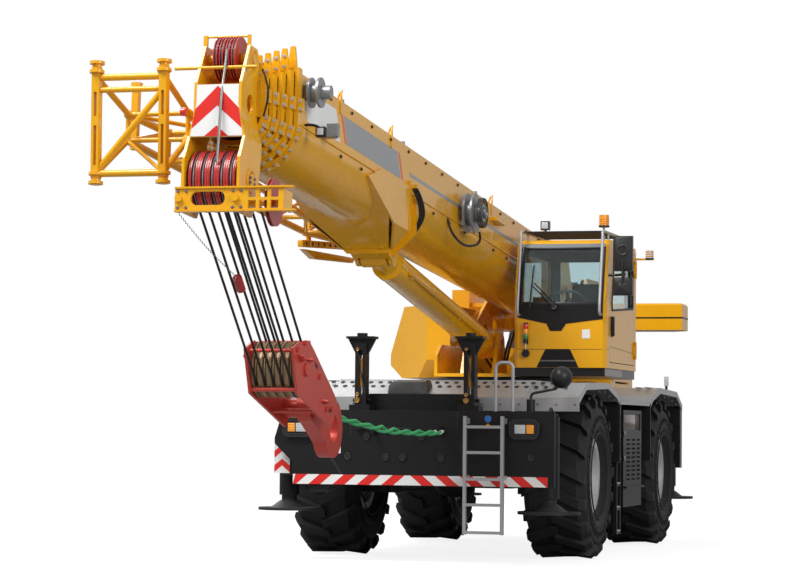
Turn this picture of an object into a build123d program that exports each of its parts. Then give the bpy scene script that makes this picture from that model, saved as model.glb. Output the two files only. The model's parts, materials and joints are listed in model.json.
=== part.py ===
"""Rough-terrain mobile crane: two-axle carrier, slewing superstructure, five-section boom.

Millimetres. +X is the driving direction, +Y the left side, +Z up, and Z = 0 is the ground.
Every size below is measured from the middle of the wheelbase, and export() moves the crane
so that its origin lies on the ground under the middle of its overall box.
"""

from math import atan2, cos, degrees, hypot, radians, sin, tan
import os

from build123d import *

os.makedirs("parts", exist_ok=True)

# ---------------------------------------------------------------- general
ORIGIN_X = 3150.0          # middle of the overall length, from the middle of the wheelbase
SEAT = 0.3                 # running clearance at pins, pads and bearings
RUN = 10.0                 # clearance between pieces that pass each other
PLATE = 20.0               # usual plate thickness

# ---------------------------------------------------------------- wheels and axles
WHEELBASE = 4100.0
TRACK = 2550.0             # between tyre centres
TYRE_RADIUS = 875.0
TYRE_WIDTH = 700.0
LUG_HEIGHT = 42.0
LUG_COUNT = 18             # on each side of the tread
LUG_WIDTH = 100.0
LUG_SWEEP = 170.0          # how far a lug runs round the tread from its root to its shoulder
BEAD_RADIUS = 345.0
RIM_FLANGE_RADIUS = 400.0
RIM_WIDTH = 540.0
RIM_WALL = 18.0
HUB_RADIUS = 175.0
SPINDLE_RADIUS = 90.0
SPINDLE_LENGTH = 90.0
KINGPIN_Y = 820.0
KINGPIN_RADIUS = 50.0
KINGPIN_BOSS_RADIUS = 105.0
KINGPIN_BOSS_HEIGHT = 300.0
KNUCKLE_DRUM_RADIUS = 190.0
FORK_THICKNESS = 60.0
AXLE_TUBE_HEIGHT = 230.0
AXLE_TUBE_WIDTH = 260.0
AXLE_NOSE = 370.0          # drive nose, from the axle towards the crane's middle
DIFFERENTIAL_RADIUS = 260.0

# ---------------------------------------------------------------- carrier frame
FRAME_HALF_WIDTH = 450.0
FRAME_OVERHANG = 1200.0    # frame beyond each axle
FRAME_END_X = WHEELBASE / 2 + FRAME_OVERHANG
FRAME_TOP_Z = 1780.0
FRAME_ARCH_Z = 1160.0      # underside over the axles
FRAME_BELLY_Z = 950.0      # underside between the axles
FRAME_STEP_X = 1150.0      # where the underside starts to rise
FRAME_NOSE_Z = 1640.0
FRAME_NOSE_LENGTH = 300.0
FRAME_WINDOW_RADIUS = 130.0
ENGINE_BOTTOM_Z = 1290.0
ENGINE_TOP_Z = 2150.0
ENGINE_LENGTH = 830.0
ENGINE_HALF_WIDTH = 330.0
HOOD_TOP_Z = 2400.0
HOOD_HALF_WIDTH = 900.0
HOOD_FRONT_X = -(FRAME_END_X - 950)
HOOD_REAR_X = -(FRAME_END_X + 530)
DECK_Z = 1890.0            # top of the deck plates
DECK_PLATE = 25.0
DECK_HALF_WIDTH = 1640.0
DECK_NOSE_Z = 1700.0       # front edge of the deck
DECK_SLOPE_X = 2850.0      # where the deck starts to fall to its front edge
WALKWAY_Z = 1710.0
ARCH_FRONT = 1230.0        # arch beyond its axle
ARCH_REAR = 1090.0         # arch before its axle
ARCH_INNER_Y = 1050.0
ARCH_LEG_INNER_Y = 1310.0
LADDER_REAR_X = 730.0      # side ladders
LADDER_FRONT_X = 930.0

# ---------------------------------------------------------------- outriggers
OUTRIGGER_OVERHANG = 350.0
OUTRIGGER_X = FRAME_END_X + OUTRIGGER_OVERHANG
BEAM_OFFSET_X = 150.0      # each beam box lies this far from the jack axis
BEAM_WIDTH = 220.0
BEAM_HEIGHT = 300.0
BEAM_WALL = 14.0
BEAM_AXIS_Z = 1040.0
BOX_WALL = 18.0
BOX_HALF_LENGTH = 1240.0
BUMPER_REACH = 400.0
BUMPER_FACE_X = OUTRIGGER_X + BUMPER_REACH
BUMPER_PLATE = 30.0
BUMPER_TOP_Z = 1550.0
BUMPER_BOTTOM_Z = 780.0
REAR_BOX_TOP_Z = 1480.0
TOW_LUG_Y = 350.0
TOW_LUG_Z = 1340.0
TOW_BORE_REACH = 92.0      # bore before the bumper's face
TOW_BORE_RADIUS = 18.0
JACK_OVERHANG = 160.0
JACK_Y = BOX_HALF_LENGTH + JACK_OVERHANG
JACK_SLEEVE_RADIUS = 105.0
JACK_ROD_RADIUS = 80.0
JACK_TOP_Z = 1500.0
JACK_BOTTOM_Z = 660.0
JACK_STROKE = 600.0
BEAM_STROKE = 1900.0
FLOAT_RADIUS = 325.0
FLOAT_BOTTOM_Z = 500.0

# ---------------------------------------------------------------- superstructure
RING_RADIUS = 780.0        # tips of the slewing gear
RING_TOOTH = 26.0
RING_TEETH = 60
RING_BORE = 560.0
RING_TOP_Z = 1905.0
TABLE_Z = 1960.0           # underside of the turntable's base plate
TABLE_PLATE = 40.0
UPPER_BOTTOM_Z = 1965.0    # underside of the cab and of the side housing
CHEEK_INNER_Y = 440.0      # inner face of the turntable's side plates
CHEEK_PLATE = 40.0
PIVOT_X = -2100.0          # boom pivot
PIVOT_Z = 2950.0
PIVOT_RADIUS = 90.0
FOOT_X = 700.0             # luffing cylinder's foot
FOOT_Z = 2330.0
EYE_X = 5250.0             # luffing cylinder's eye under the boom
EYE_Z = 3075.0
CAB_FRONT_X = 1400.0
CAB_REAR_X = -450.0
CAB_INNER_Y = 510.0
CAB_OUTER_Y = 1560.0
CAB_FLOOR_Z = 2060.0
CAB_ROOF_Z = 3500.0
CAB_WALL = 45.0
DOOR_GAP = 8.0
DOOR_REAR_X = -300.0
DOOR_FRONT_X = 1200.0
DOOR_BOTTOM_Z = 2130.0
DOOR_TOP_Z = 3420.0
DOOR_HINGE_X = DOOR_REAR_X - DOOR_GAP / 2
DOOR_HINGE_Y = CAB_OUTER_Y + 16.0
SCREEN_HALF_WIDTH = 430.0
SCREEN_BOTTOM_Z = 2790.0
SCREEN_TOP_Z = 3400.0
REAR_PANE_HALF_WIDTH = 380.0
REAR_PANE_BOTTOM_Z = 2750.0
REAR_PANE_TOP_Z = 3350.0
GLASS = 8.0
MIRROR_OUTER_Y = 1860.0
WINCH_Z = 3110.0
WEIGHT_FRONT_X = -3000.0
WEIGHT_REAR_X = -3650.0
WEIGHT_HALF_WIDTH = 1680.0
WEIGHT_BOTTOM_Z = 2650.0
WEIGHT_TOP_Z = 2990.0
CHANNEL_Z = 2701.0         # floor of the channel that takes the side plates

# ---------------------------------------------------------------- boom, in its own frame
# The boom's frame starts at the pivot, with x along the boom and z square to it.
BOOM_REST_ANGLE = 4.3      # boom over the horizontal as parked
BOOM_WIDTH = 800.0
BOOM_HEIGHT = 840.0
BOOM_AXIS_Z = 157.0        # centre of the section over the pivot
BOOM_WALL = 12.0
BOOM_STEP = 40.0           # from one section's side to the next one's
BOOM_TAIL_X = -200.0
BASE_FRONT_X = 11300.0
COLLAR_PITCH = 100.0
COLLAR_LENGTH = 88.0
COLLAR_RISE = 25.0
SECTION_TAIL_X = 320.0     # rear end of section two
TAIL_PITCH = 60.0
SECTION_COUNT = 5
TELE_STROKE = 8350.0
BARREL_RADIUS = 155.0
ROD_RADIUS = 105.0
LUFF_LENGTH = hypot(EYE_X - FOOT_X, EYE_Z - FOOT_Z)
LUFF_ANGLE = degrees(atan2(EYE_Z - FOOT_Z, EYE_X - FOOT_X))
BARREL_END = LUFF_LENGTH - 420.0
LUFF_EYE_RADIUS = 125.0
LUFF_PIN_RADIUS = 55.0
LUFF_LUG_Y = 150.0         # inner face of the lugs at the rod's eye
FOOT_EYE_RADIUS = 150.0
LUG_GAP = 160.0            # half of the space between the foot's lugs
LUG_PLATE = 45.0
BRACKET_Y = 420.0          # outer face of the luffing bracket's side plates
REEL_X = 5535.0
REEL_Z = 266.0
REEL_RADIUS = 210.0

# ---------------------------------------------------------------- jib carried beside the boom
JIB_INNER_Y = -500.0
JIB_ROOT_X = 11900.0       # foot of the root's posts, in the boom's frame
JIB_ROOT_LEAN = 75.0       # the posts' heads stand this far before their feet
JIB_ROOT_INNER_Y = -530.0
JIB_ROOT_OUTER_Y = -1125.0
JIB_ROOT_LOW_Z = -425.0
JIB_ROOT_HIGH_Z = 500.0
JIB_CHORD = 34.0
JIB_BRACE = 19.0
JIB_STATIONS = [
    # x along the boom, inner y, outer y, lower z, upper z
    (11440, JIB_INNER_Y, -1040, -22, 202),
    (10600, JIB_INNER_Y, -985, -60, 200),
    (9760, JIB_INNER_Y, -930, -95, 195),
    (8920, JIB_INNER_Y, -875, -130, 190),
    (8080, JIB_INNER_Y, -820, -160, 180),
    (7240, JIB_INNER_Y, -770, -180, 165),
    (6400, JIB_INNER_Y, -720, -130, 140),
    (5560, JIB_INNER_Y, -680, -60, 120),
    (4720, JIB_INNER_Y, -640, 10, 110),
]

# ---------------------------------------------------------------- head, falls and hook block
HEAD_BOTTOM_Z = -770.0     # lower edge of the head's cheeks and bracket, in the boom's frame
HEAD_FRONT_X = 12225.0
HEAD_SHEAVE_X = 11948.0    # lower sheaves
HEAD_SHEAVE_Z = -477.0
HEAD_SHEAVE_RADIUS = 250.0
TOP_SHEAVE_X = 11850.0
TOP_SHEAVE_Z = 561.0
TOP_SHEAVE_RADIUS = 183.0
TOP_SHEAVE_PITCH = 52.0
AUX_SHEAVE_X = 11990.0
AUX_SHEAVE_Z = -664.0
AUX_SHEAVE_RADIUS = 195.0
BLOCK_SHEAVE_RADIUS = 240.0
ROPE_RADIUS = 11.0
GROOVE_DEPTH = 30.0
GROOVE_WIDTH = 34.0
FALL_PITCH = 80.0
FALL_COUNT = 5
BLOCK_X = 8150.0           # hook block's reference point, as parked
BLOCK_Z = 1830.0
BLOCK_TILT = 24.0          # block's long axis under the horizontal, pointing back
BLOCK_HALF_WIDTH = 226.0
BLOCK_SHEAVE_LOCAL = (-80.0, 10.0)
TRUNNION_LOCAL = (760.0, 20.0)
TRUNNION_RADIUS = 85.0
HOOK_THICKNESS = 130.0


# ================================================================ helpers
def cuboid(x, y, z):
    """Box between (low, high) pairs on the three axes."""
    size = [high - low for low, high in (x, y, z)]
    middle = [(high + low) / 2 for low, high in (x, y, z)]
    return Pos(*middle) * Box(*size)


def outline(points):
    """Closed flat face through a short list of corner points."""
    return make_face(Polyline(*points, close=True))


def plate_xz(face, y_low, y_high):
    """Face drawn in x and z, made into a plate between two y values."""
    if isinstance(face, (list, tuple)):
        face = outline(face)
    return extrude(Plane.XZ.offset(-y_high) * face, y_high - y_low)


def plate_yz(face, x_low, x_high):
    """Face drawn in y and z, made into a plate between two x values."""
    if isinstance(face, (list, tuple)):
        face = outline(face)
    return extrude(Plane.YZ.offset(x_low) * face, x_high - x_low)


def plate_xy(face, z_low, z_high):
    """Face drawn in x and y, made into a plate between two z values."""
    if isinstance(face, (list, tuple)):
        face = outline(face)
    return extrude(Plane.XY.offset(z_low) * face, z_high - z_low)


def bar(start, end, radius):
    """Round bar from point to point."""
    start, end = Vector(*start), Vector(*end)
    base = Plane(origin=start, z_dir=end - start)
    return base * Cylinder(radius, (end - start).length, align=(Align.CENTER, Align.CENTER, Align.MIN))


def bent_tube(points, radius, bend):
    """Round tube along a line of points, its corners rounded to the bend's radius."""
    path = FilletPolyline(*points, radius=bend)
    start = Plane(origin=path @ 0, z_dir=path % 0)
    return sweep(start * Circle(radius), path=path)


def disc_y(x, z, radius, y_low, y_high):
    """Disc or shaft whose axis lies along Y."""
    return Pos(x, (y_low + y_high) / 2, z) * Rot(90, 0, 0) * Cylinder(radius, y_high - y_low)


def disc_z(x, y, radius, z_low, z_high):
    """Disc or post whose axis stands up."""
    return Pos(x, y, (z_low + z_high) / 2) * Cylinder(radius, z_high - z_low)


def both_sides(shape):
    """Shape and its twin on the other side of the crane's middle plane."""
    return shape + mirror(shape, about=Plane.XZ)


def export(name, shape):
    """One node's STEP file, moved so that the origin is under the middle of the crane."""
    export_step(Pos(-ORIGIN_X, 0, 0) * shape, os.path.join("parts", name + ".step"))


BOOM = Pos(PIVOT_X, 0, PIVOT_Z) * Rot(0, -BOOM_REST_ANGLE, 0)


def to_boom(x, z):
    """Place of a crane point in the boom's own frame."""
    c, s = cos(radians(BOOM_REST_ANGLE)), sin(radians(BOOM_REST_ANGLE))
    dx, dz = x - PIVOT_X, z - PIVOT_Z
    return dx * c + dz * s, dz * c - dx * s


def from_boom(x, z):
    """Place of a boom point in the crane's frame."""
    c, s = cos(radians(BOOM_REST_ANGLE)), sin(radians(BOOM_REST_ANGLE))
    return PIVOT_X + x * c - z * s, PIVOT_Z + x * s + z * c


WHEELS = [
    # name, axle's x, side
    ("fl", WHEELBASE / 2, 1),
    ("fr", WHEELBASE / 2, -1),
    ("rl", -WHEELBASE / 2, 1),
    ("rr", -WHEELBASE / 2, -1),
]


# ================================================================ wheels
def tyre():
    """Tyre about the Y axis at the origin, with two crossed rows of lugs on its tread."""
    half = TYRE_WIDTH / 2
    crown = TYRE_RADIUS - LUG_HEIGHT
    section = [
        (BEAD_RADIUS, -RIM_WIDTH / 2 + RIM_WALL + 14),
        (RIM_FLANGE_RADIUS + 1, -RIM_WIDTH / 2 + RIM_WALL + 1),
        (RIM_FLANGE_RADIUS + 1, -RIM_WIDTH / 2 - 5),
        (0.62 * TYRE_RADIUS, -half),
        (0.82 * TYRE_RADIUS, -half + 12),
        (crown, -half + 95),
    ]
    profile = section + [(r, -y) for r, y in reversed(section)]
    carcass = revolve(make_face(Polyline(*profile, close=True)), Axis.Y)
    root = 0.82 * TYRE_RADIUS + 20
    blade = plate_xy(
        [(-LUG_WIDTH / 2, -25), (LUG_WIDTH / 2, -25), (LUG_WIDTH / 2 + LUG_SWEEP, half - 8),
         (-LUG_WIDTH / 2 + LUG_SWEEP, half - 8)],
        root, TYRE_RADIUS,
    )
    outer = [(half - 70, TYRE_RADIUS + 5), (half + 5, TYRE_RADIUS + 5), (half + 5, TYRE_RADIUS - 90)]
    shoulder = plate_yz(outer, -LUG_SWEEP, 2 * LUG_SWEEP)
    blade -= shoulder
    other = Rot(0, 180 / LUG_COUNT, 0) * mirror(blade, about=Plane.XZ)
    lugs = [Rot(0, 360 / LUG_COUNT * i, 0) * lug for i in range(LUG_COUNT) for lug in (blade, other)]
    return carcass + lugs


def rim():
    """Rim about the Y axis at the origin, its dished face to +Y."""
    half = RIM_WIDTH / 2
    barrel = BEAD_RADIUS - SEAT
    outer = [
        (barrel, -half), (RIM_FLANGE_RADIUS, -half), (RIM_FLANGE_RADIUS, -half + RIM_WALL),
        (barrel, -half + RIM_WALL + 12), (barrel, half - RIM_WALL - 12),
        (RIM_FLANGE_RADIUS, half - RIM_WALL), (RIM_FLANGE_RADIUS, half),
        (barrel - RIM_WALL, half), (barrel - RIM_WALL - 25, 90), (HUB_RADIUS + 30, 60),
        (HUB_RADIUS, 60), (HUB_RADIUS - 15, 190), (HUB_RADIUS - 60, 215), (0, 215),
        (0, 0), (HUB_RADIUS + 30, 0), (barrel - RIM_WALL - 25, 40), (barrel - RIM_WALL, -half),
    ]
    body = revolve(make_face(Polyline(*outer, close=True)), Axis.Y)
    return body - disc_y(0, 0, SPINDLE_RADIUS + SEAT, -10, SPINDLE_LENGTH)


def wheel_place(x, side):
    """Wheel centre, turned so that the dished face looks outwards."""
    turn = Rot(0, 0, 0) if side > 0 else Rot(0, 0, 180)
    return Pos(x, side * TRACK / 2, TYRE_RADIUS) * turn


def knuckle():
    """Left knuckle about its kingpin at the origin: fork, drum and spindle, looking to +Y."""
    boss = KINGPIN_BOSS_HEIGHT / 2
    hub_face = TRACK / 2 - KINGPIN_Y          # rim's inner hub face from the kingpin
    pin = disc_z(0, 0, KINGPIN_RADIUS, -boss - FORK_THICKNESS, boss + FORK_THICKNESS)
    arm = disc_z(0, 0, KINGPIN_BOSS_RADIUS, 0, FORK_THICKNESS)
    arm += cuboid((-KINGPIN_BOSS_RADIUS, KINGPIN_BOSS_RADIUS), (0, 200), (0, FORK_THICKNESS))
    fork = Pos(0, 0, boss + SEAT) * arm + Pos(0, 0, -boss - SEAT - FORK_THICKNESS) * arm
    height = boss + SEAT + FORK_THICKNESS
    back = cuboid((-KINGPIN_BOSS_RADIUS, KINGPIN_BOSS_RADIUS), (140, 200), (-height, height))
    drum = disc_y(0, 0, KNUCKLE_DRUM_RADIUS, 180, hub_face - SEAT)
    spindle = disc_y(0, 0, SPINDLE_RADIUS, hub_face - 20, hub_face + SPINDLE_LENGTH - 5)
    return pin + fork + back + drum + spindle


def axle_beam(x):
    """Axle housing with its differential, kingpin bosses and frame brackets."""
    end_y = KINGPIN_Y - KINGPIN_BOSS_RADIUS + 20
    half_h, half_w = AXLE_TUBE_HEIGHT / 2, AXLE_TUBE_WIDTH / 2
    axis_z = TYRE_RADIUS
    body = cuboid((x - half_w, x + half_w), (-end_y, end_y), (axis_z - half_h, axis_z + half_h))
    body = chamfer(body.edges().filter_by(Axis.Y), 40)
    body += Pos(x, 0, axis_z) * Sphere(DIFFERENTIAL_RADIUS)
    nose = -1 if x > 0 else 1                 # the drive comes from the middle of the crane
    body += bar((x, 0, axis_z), (x + nose * AXLE_NOSE, 0, axis_z), 110)
    half_boss = KINGPIN_BOSS_HEIGHT / 2
    for side in (-1, 1):
        body += disc_z(x, side * KINGPIN_Y, KINGPIN_BOSS_RADIUS, axis_z - half_boss, axis_z + half_boss)
        body -= disc_z(x, side * KINGPIN_Y, KINGPIN_RADIUS + SEAT, axis_z - 200, axis_z + 200)
        body += cuboid(
            (x - 110, x + 110), (min(side * 250, side * 430), max(side * 250, side * 430)),
            (axis_z + half_h - 20, FRAME_ARCH_Z),
        )
    return body


# ================================================================ carrier
def chassis_frame():
    """Box-section carrier frame, stepped up over the axles, open on top for the engine."""
    rise_x = FRAME_STEP_X + 200
    profile = [
        (-FRAME_END_X, FRAME_ARCH_Z), (-rise_x, FRAME_ARCH_Z), (-FRAME_STEP_X, FRAME_BELLY_Z),
        (FRAME_STEP_X, FRAME_BELLY_Z), (rise_x, FRAME_ARCH_Z), (FRAME_END_X, FRAME_ARCH_Z),
        (FRAME_END_X, FRAME_NOSE_Z), (FRAME_END_X - FRAME_NOSE_LENGTH, FRAME_TOP_Z), (-FRAME_END_X, FRAME_TOP_Z),
    ]
    inner = offset(outline(profile), -PLATE, kind=Kind.INTERSECTION)
    frame = plate_xz(profile, -FRAME_HALF_WIDTH, FRAME_HALF_WIDTH)
    frame -= plate_xz(inner, -FRAME_HALF_WIDTH + PLATE, FRAME_HALF_WIDTH - PLATE)
    bay = (-FRAME_END_X + 50, -FRAME_END_X + ENGINE_LENGTH + 170)
    frame -= cuboid(bay, (-FRAME_HALF_WIDTH + 50, FRAME_HALF_WIDTH - 50), (FRAME_TOP_Z - 50, FRAME_TOP_Z + 50))
    frame -= disc_z(0, 0, RING_BORE - 60, FRAME_TOP_Z - 50, FRAME_TOP_Z + 50)
    for x in (0, 900, WHEELBASE / 2 - 50, FRAME_END_X - 350):
        for side in (-1, 1):
            frame -= disc_y(side * x, (FRAME_ARCH_Z + FRAME_TOP_Z) / 2, FRAME_WINDOW_RADIUS, -600, 600)
    for x in (-FRAME_END_X + 200, -FRAME_END_X + ENGINE_LENGTH - 30):
        frame += cuboid((x - 50, x + 50), (-FRAME_HALF_WIDTH + 10, FRAME_HALF_WIDTH - 10),
                        (FRAME_ARCH_Z + 10, ENGINE_BOTTOM_Z - SEAT))
    return frame


def engine_block():
    """Engine as one plain block on its bearers."""
    rear = -FRAME_END_X + 100
    return cuboid((rear, rear + ENGINE_LENGTH), (-ENGINE_HALF_WIDTH, ENGINE_HALF_WIDTH),
                  (ENGINE_BOTTOM_Z, ENGINE_TOP_Z))


def driveline():
    """Transfer case under the frame and a propeller shaft to each axle's nose."""
    case = cuboid((-280, 280), (-220, 220), (680, FRAME_BELLY_Z))
    case = chamfer(case.edges().filter_by(Axis.Y).sort_by(Axis.Z)[:2], 90)
    reach = WHEELBASE / 2 - AXLE_NOSE - SEAT
    for side in (-1, 1):
        case += bar((side * 250, 0, TYRE_RADIUS), (side * reach, 0, TYRE_RADIUS), 48)
        case += bar((side * 280, 0, TYRE_RADIUS), (side * 380, 0, TYRE_RADIUS), 70)
        case += bar((side * (reach - 90), 0, TYRE_RADIUS), (side * reach, 0, TYRE_RADIUS), 70)
    return case


BEAMS = [
    # name, end of the crane, side the beam slides to, box's place along the crane
    ("fl", 1, 1, OUTRIGGER_X - BEAM_OFFSET_X),
    ("fr", 1, -1, OUTRIGGER_X + BEAM_OFFSET_X),
    ("rl", -1, 1, OUTRIGGER_X - BEAM_OFFSET_X),
    ("rr", -1, -1, OUTRIGGER_X + BEAM_OFFSET_X),
]
BOX_INNER_HALF_W = BEAM_WIDTH / 2 + RUN
BOX_INNER_HALF_H = BEAM_HEIGHT / 2 + RUN


def beam_boxes():
    """Pair of beam boxes across the front of the crane, with wear pads under the beams."""
    low_x = OUTRIGGER_X - BEAM_OFFSET_X - BOX_INNER_HALF_W - BOX_WALL
    high_x = OUTRIGGER_X + BEAM_OFFSET_X + BOX_INNER_HALF_W + BOX_WALL
    half_h = BOX_INNER_HALF_H + BOX_WALL
    boxes = cuboid((low_x, high_x), (-BOX_HALF_LENGTH, BOX_HALF_LENGTH), (BEAM_AXIS_Z - half_h, BEAM_AXIS_Z + half_h))
    for _, end, side, x in BEAMS:
        if end < 0:
            continue
        boxes -= cuboid((x - BOX_INNER_HALF_W, x + BOX_INNER_HALF_W), (-BOX_HALF_LENGTH - 5, BOX_HALF_LENGTH + 5),
                        (BEAM_AXIS_Z - BOX_INNER_HALF_H, BEAM_AXIS_Z + BOX_INNER_HALF_H))
        mouth = sorted((side * (BOX_HALF_LENGTH - 120), side * BOX_HALF_LENGTH))
        boxes += cuboid((x - 80, x + 80), mouth,
                        (BEAM_AXIS_Z - BOX_INNER_HALF_H, BEAM_AXIS_Z - BEAM_HEIGHT / 2 - SEAT))
    return boxes


def front_outrigger_box():
    """Front beam boxes with the bumper: face plate, top plate, ends, tow lugs and the cover behind it."""
    face_x = BUMPER_FACE_X - BUMPER_PLATE
    left, right = BOX_HALF_LENGTH + 300, -BOX_HALF_LENGTH
    face = plate_yz(
        [(right, BUMPER_BOTTOM_Z), (left, BUMPER_BOTTOM_Z), (left, BUMPER_TOP_Z), (right - 110, BUMPER_TOP_Z),
         (right - 200, 1260), (right - 200, 1200), (right, 1010)],
        face_x, BUMPER_FACE_X,
    )
    box = beam_boxes() + face
    box_top = BEAM_AXIS_Z + BOX_INNER_HALF_H + BOX_WALL
    box_front = OUTRIGGER_X + BEAM_OFFSET_X + BOX_INNER_HALF_W + BOX_WALL
    rear = FRAME_END_X
    length = (-BOX_HALF_LENGTH, BOX_HALF_LENGTH)
    box += cuboid((rear, face_x), length, (BUMPER_TOP_Z - PLATE, BUMPER_TOP_Z))
    box += cuboid((rear, rear + PLATE), length, (BUMPER_BOTTOM_Z + 60, BUMPER_TOP_Z))
    box += cuboid((rear, OUTRIGGER_X - BEAM_OFFSET_X - BOX_INNER_HALF_W), (-400, 400),
                  (BEAM_AXIS_Z - 100, BEAM_AXIS_Z + 100))
    for y in (-BOX_HALF_LENGTH, -420, 400, BOX_HALF_LENGTH - PLATE):
        box += cuboid((rear, face_x), (y, y + PLATE), (box_top - 5, BUMPER_TOP_Z))
        box += cuboid((box_front - 5, face_x), (y, y + PLATE), (BUMPER_BOTTOM_Z + 20, box_top))
    cover_x = WHEELBASE / 2 + ARCH_FRONT + 5
    box += plate_yz([(-620, BUMPER_TOP_Z - 5), (620, BUMPER_TOP_Z - 5), (545, BUMPER_TOP_Z + 180),
                     (-545, BUMPER_TOP_Z + 180)], cover_x, OUTRIGGER_X - 40)
    tip = TOW_BORE_REACH + 33
    for side in (-1, 1):
        lug = [(-10, -50), (tip, -30), (tip, 30), (-10, 60)]
        box += plate_xz([(BUMPER_FACE_X + x, TOW_LUG_Z + z) for x, z in lug],
                        side * TOW_LUG_Y - 15, side * TOW_LUG_Y + 15)
        box -= disc_y(BUMPER_FACE_X + TOW_BORE_REACH, TOW_LUG_Z, TOW_BORE_RADIUS,
                      side * TOW_LUG_Y - 30, side * TOW_LUG_Y + 30)
    return box


def rear_outrigger_box():
    """Rear beam boxes with their end plate and cross webs."""
    box = mirror(beam_boxes(), about=Plane.YZ)
    low_x = -(OUTRIGGER_X + BEAM_OFFSET_X + BOX_INNER_HALF_W + BOX_WALL)
    front = -FRAME_END_X
    end = BOX_HALF_LENGTH + 60
    length = (-BOX_HALF_LENGTH, BOX_HALF_LENGTH)
    box += cuboid((low_x - PLATE, low_x), (-end, end), (BUMPER_BOTTOM_Z + 40, REAR_BOX_TOP_Z))
    box += cuboid((low_x, front), length, (REAR_BOX_TOP_Z - PLATE, REAR_BOX_TOP_Z))
    box += cuboid((front - PLATE, front), length, (BUMPER_BOTTOM_Z + 60, REAR_BOX_TOP_Z))
    box += cuboid((-(OUTRIGGER_X - BEAM_OFFSET_X - BOX_INNER_HALF_W), front), (-400, 400),
                  (BEAM_AXIS_Z - 100, BEAM_AXIS_Z + 100))
    for y in (-BOX_HALF_LENGTH, BOX_HALF_LENGTH - PLATE):
        box += cuboid((low_x, front), (y, y + PLATE), (BEAM_AXIS_Z + BOX_INNER_HALF_H, REAR_BOX_TOP_Z))
    return box


def outrigger_beam(end, side, x):
    """Hollow beam with the jack's sleeve in its head, as parked."""
    x0, jack_x = end * x, end * OUTRIGGER_X
    half_w, half_h = BEAM_WIDTH / 2, BEAM_HEIGHT / 2
    head_y = BOX_HALF_LENGTH + RUN
    beam = cuboid((x0 - half_w, x0 + half_w), (-BOX_HALF_LENGTH + 30, head_y + 20),
                  (BEAM_AXIS_Z - half_h, BEAM_AXIS_Z + half_h))
    beam -= cuboid((x0 - half_w + BEAM_WALL, x0 + half_w - BEAM_WALL), (-BOX_HALF_LENGTH, head_y),
                   (BEAM_AXIS_Z - half_h + BEAM_WALL, BEAM_AXIS_Z + half_h - BEAM_WALL))
    outer_x = x0 + (half_w if x0 * end > jack_x * end else -half_w) * end
    span = sorted((outer_x, jack_x - (JACK_SLEEVE_RADIUS + 20) * end * (1 if x > OUTRIGGER_X else -1)))
    beam += cuboid(span, (head_y, JACK_Y + 20), (BEAM_AXIS_Z - half_h - 20, BEAM_AXIS_Z + half_h + 20))
    beam += disc_z(jack_x, JACK_Y, JACK_SLEEVE_RADIUS, JACK_BOTTOM_Z, JACK_TOP_Z)
    beam -= disc_z(jack_x, JACK_Y, JACK_ROD_RADIUS + SEAT, JACK_BOTTOM_Z - 10, JACK_TOP_Z - 30)
    return beam if side > 0 else mirror(beam, about=Plane.XZ)


def outrigger_jack(end, side):
    """Jack rod with its float plate, drawn in."""
    x = end * OUTRIGGER_X
    rod = disc_z(x, JACK_Y, JACK_ROD_RADIUS, FLOAT_BOTTOM_Z + 20, JACK_TOP_Z - 40)
    rod += Pos(x, JACK_Y, FLOAT_BOTTOM_Z + 15) * Cylinder(FLOAT_RADIUS, 30)
    rod += Pos(x, JACK_Y, FLOAT_BOTTOM_Z + 65) * Cone(FLOAT_RADIUS * 0.6, JACK_ROD_RADIUS + 15, 75)
    return rod if side > 0 else mirror(rod, about=Plane.XZ)


def arch_points(axle_x):
    """Upper line of a wheel arch, as (x, z) from the front to the rear of its wheel."""
    ends = [(ARCH_FRONT, DECK_NOSE_Z), (820, 1860), (-380, DECK_Z), (-910, 1790), (-ARCH_REAR, WALKWAY_Z)]
    if axle_x > 0:
        return [(axle_x + dx, z) for dx, z in ends]
    return [(axle_x - dx, z) for dx, z in reversed(ends)]


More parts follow.
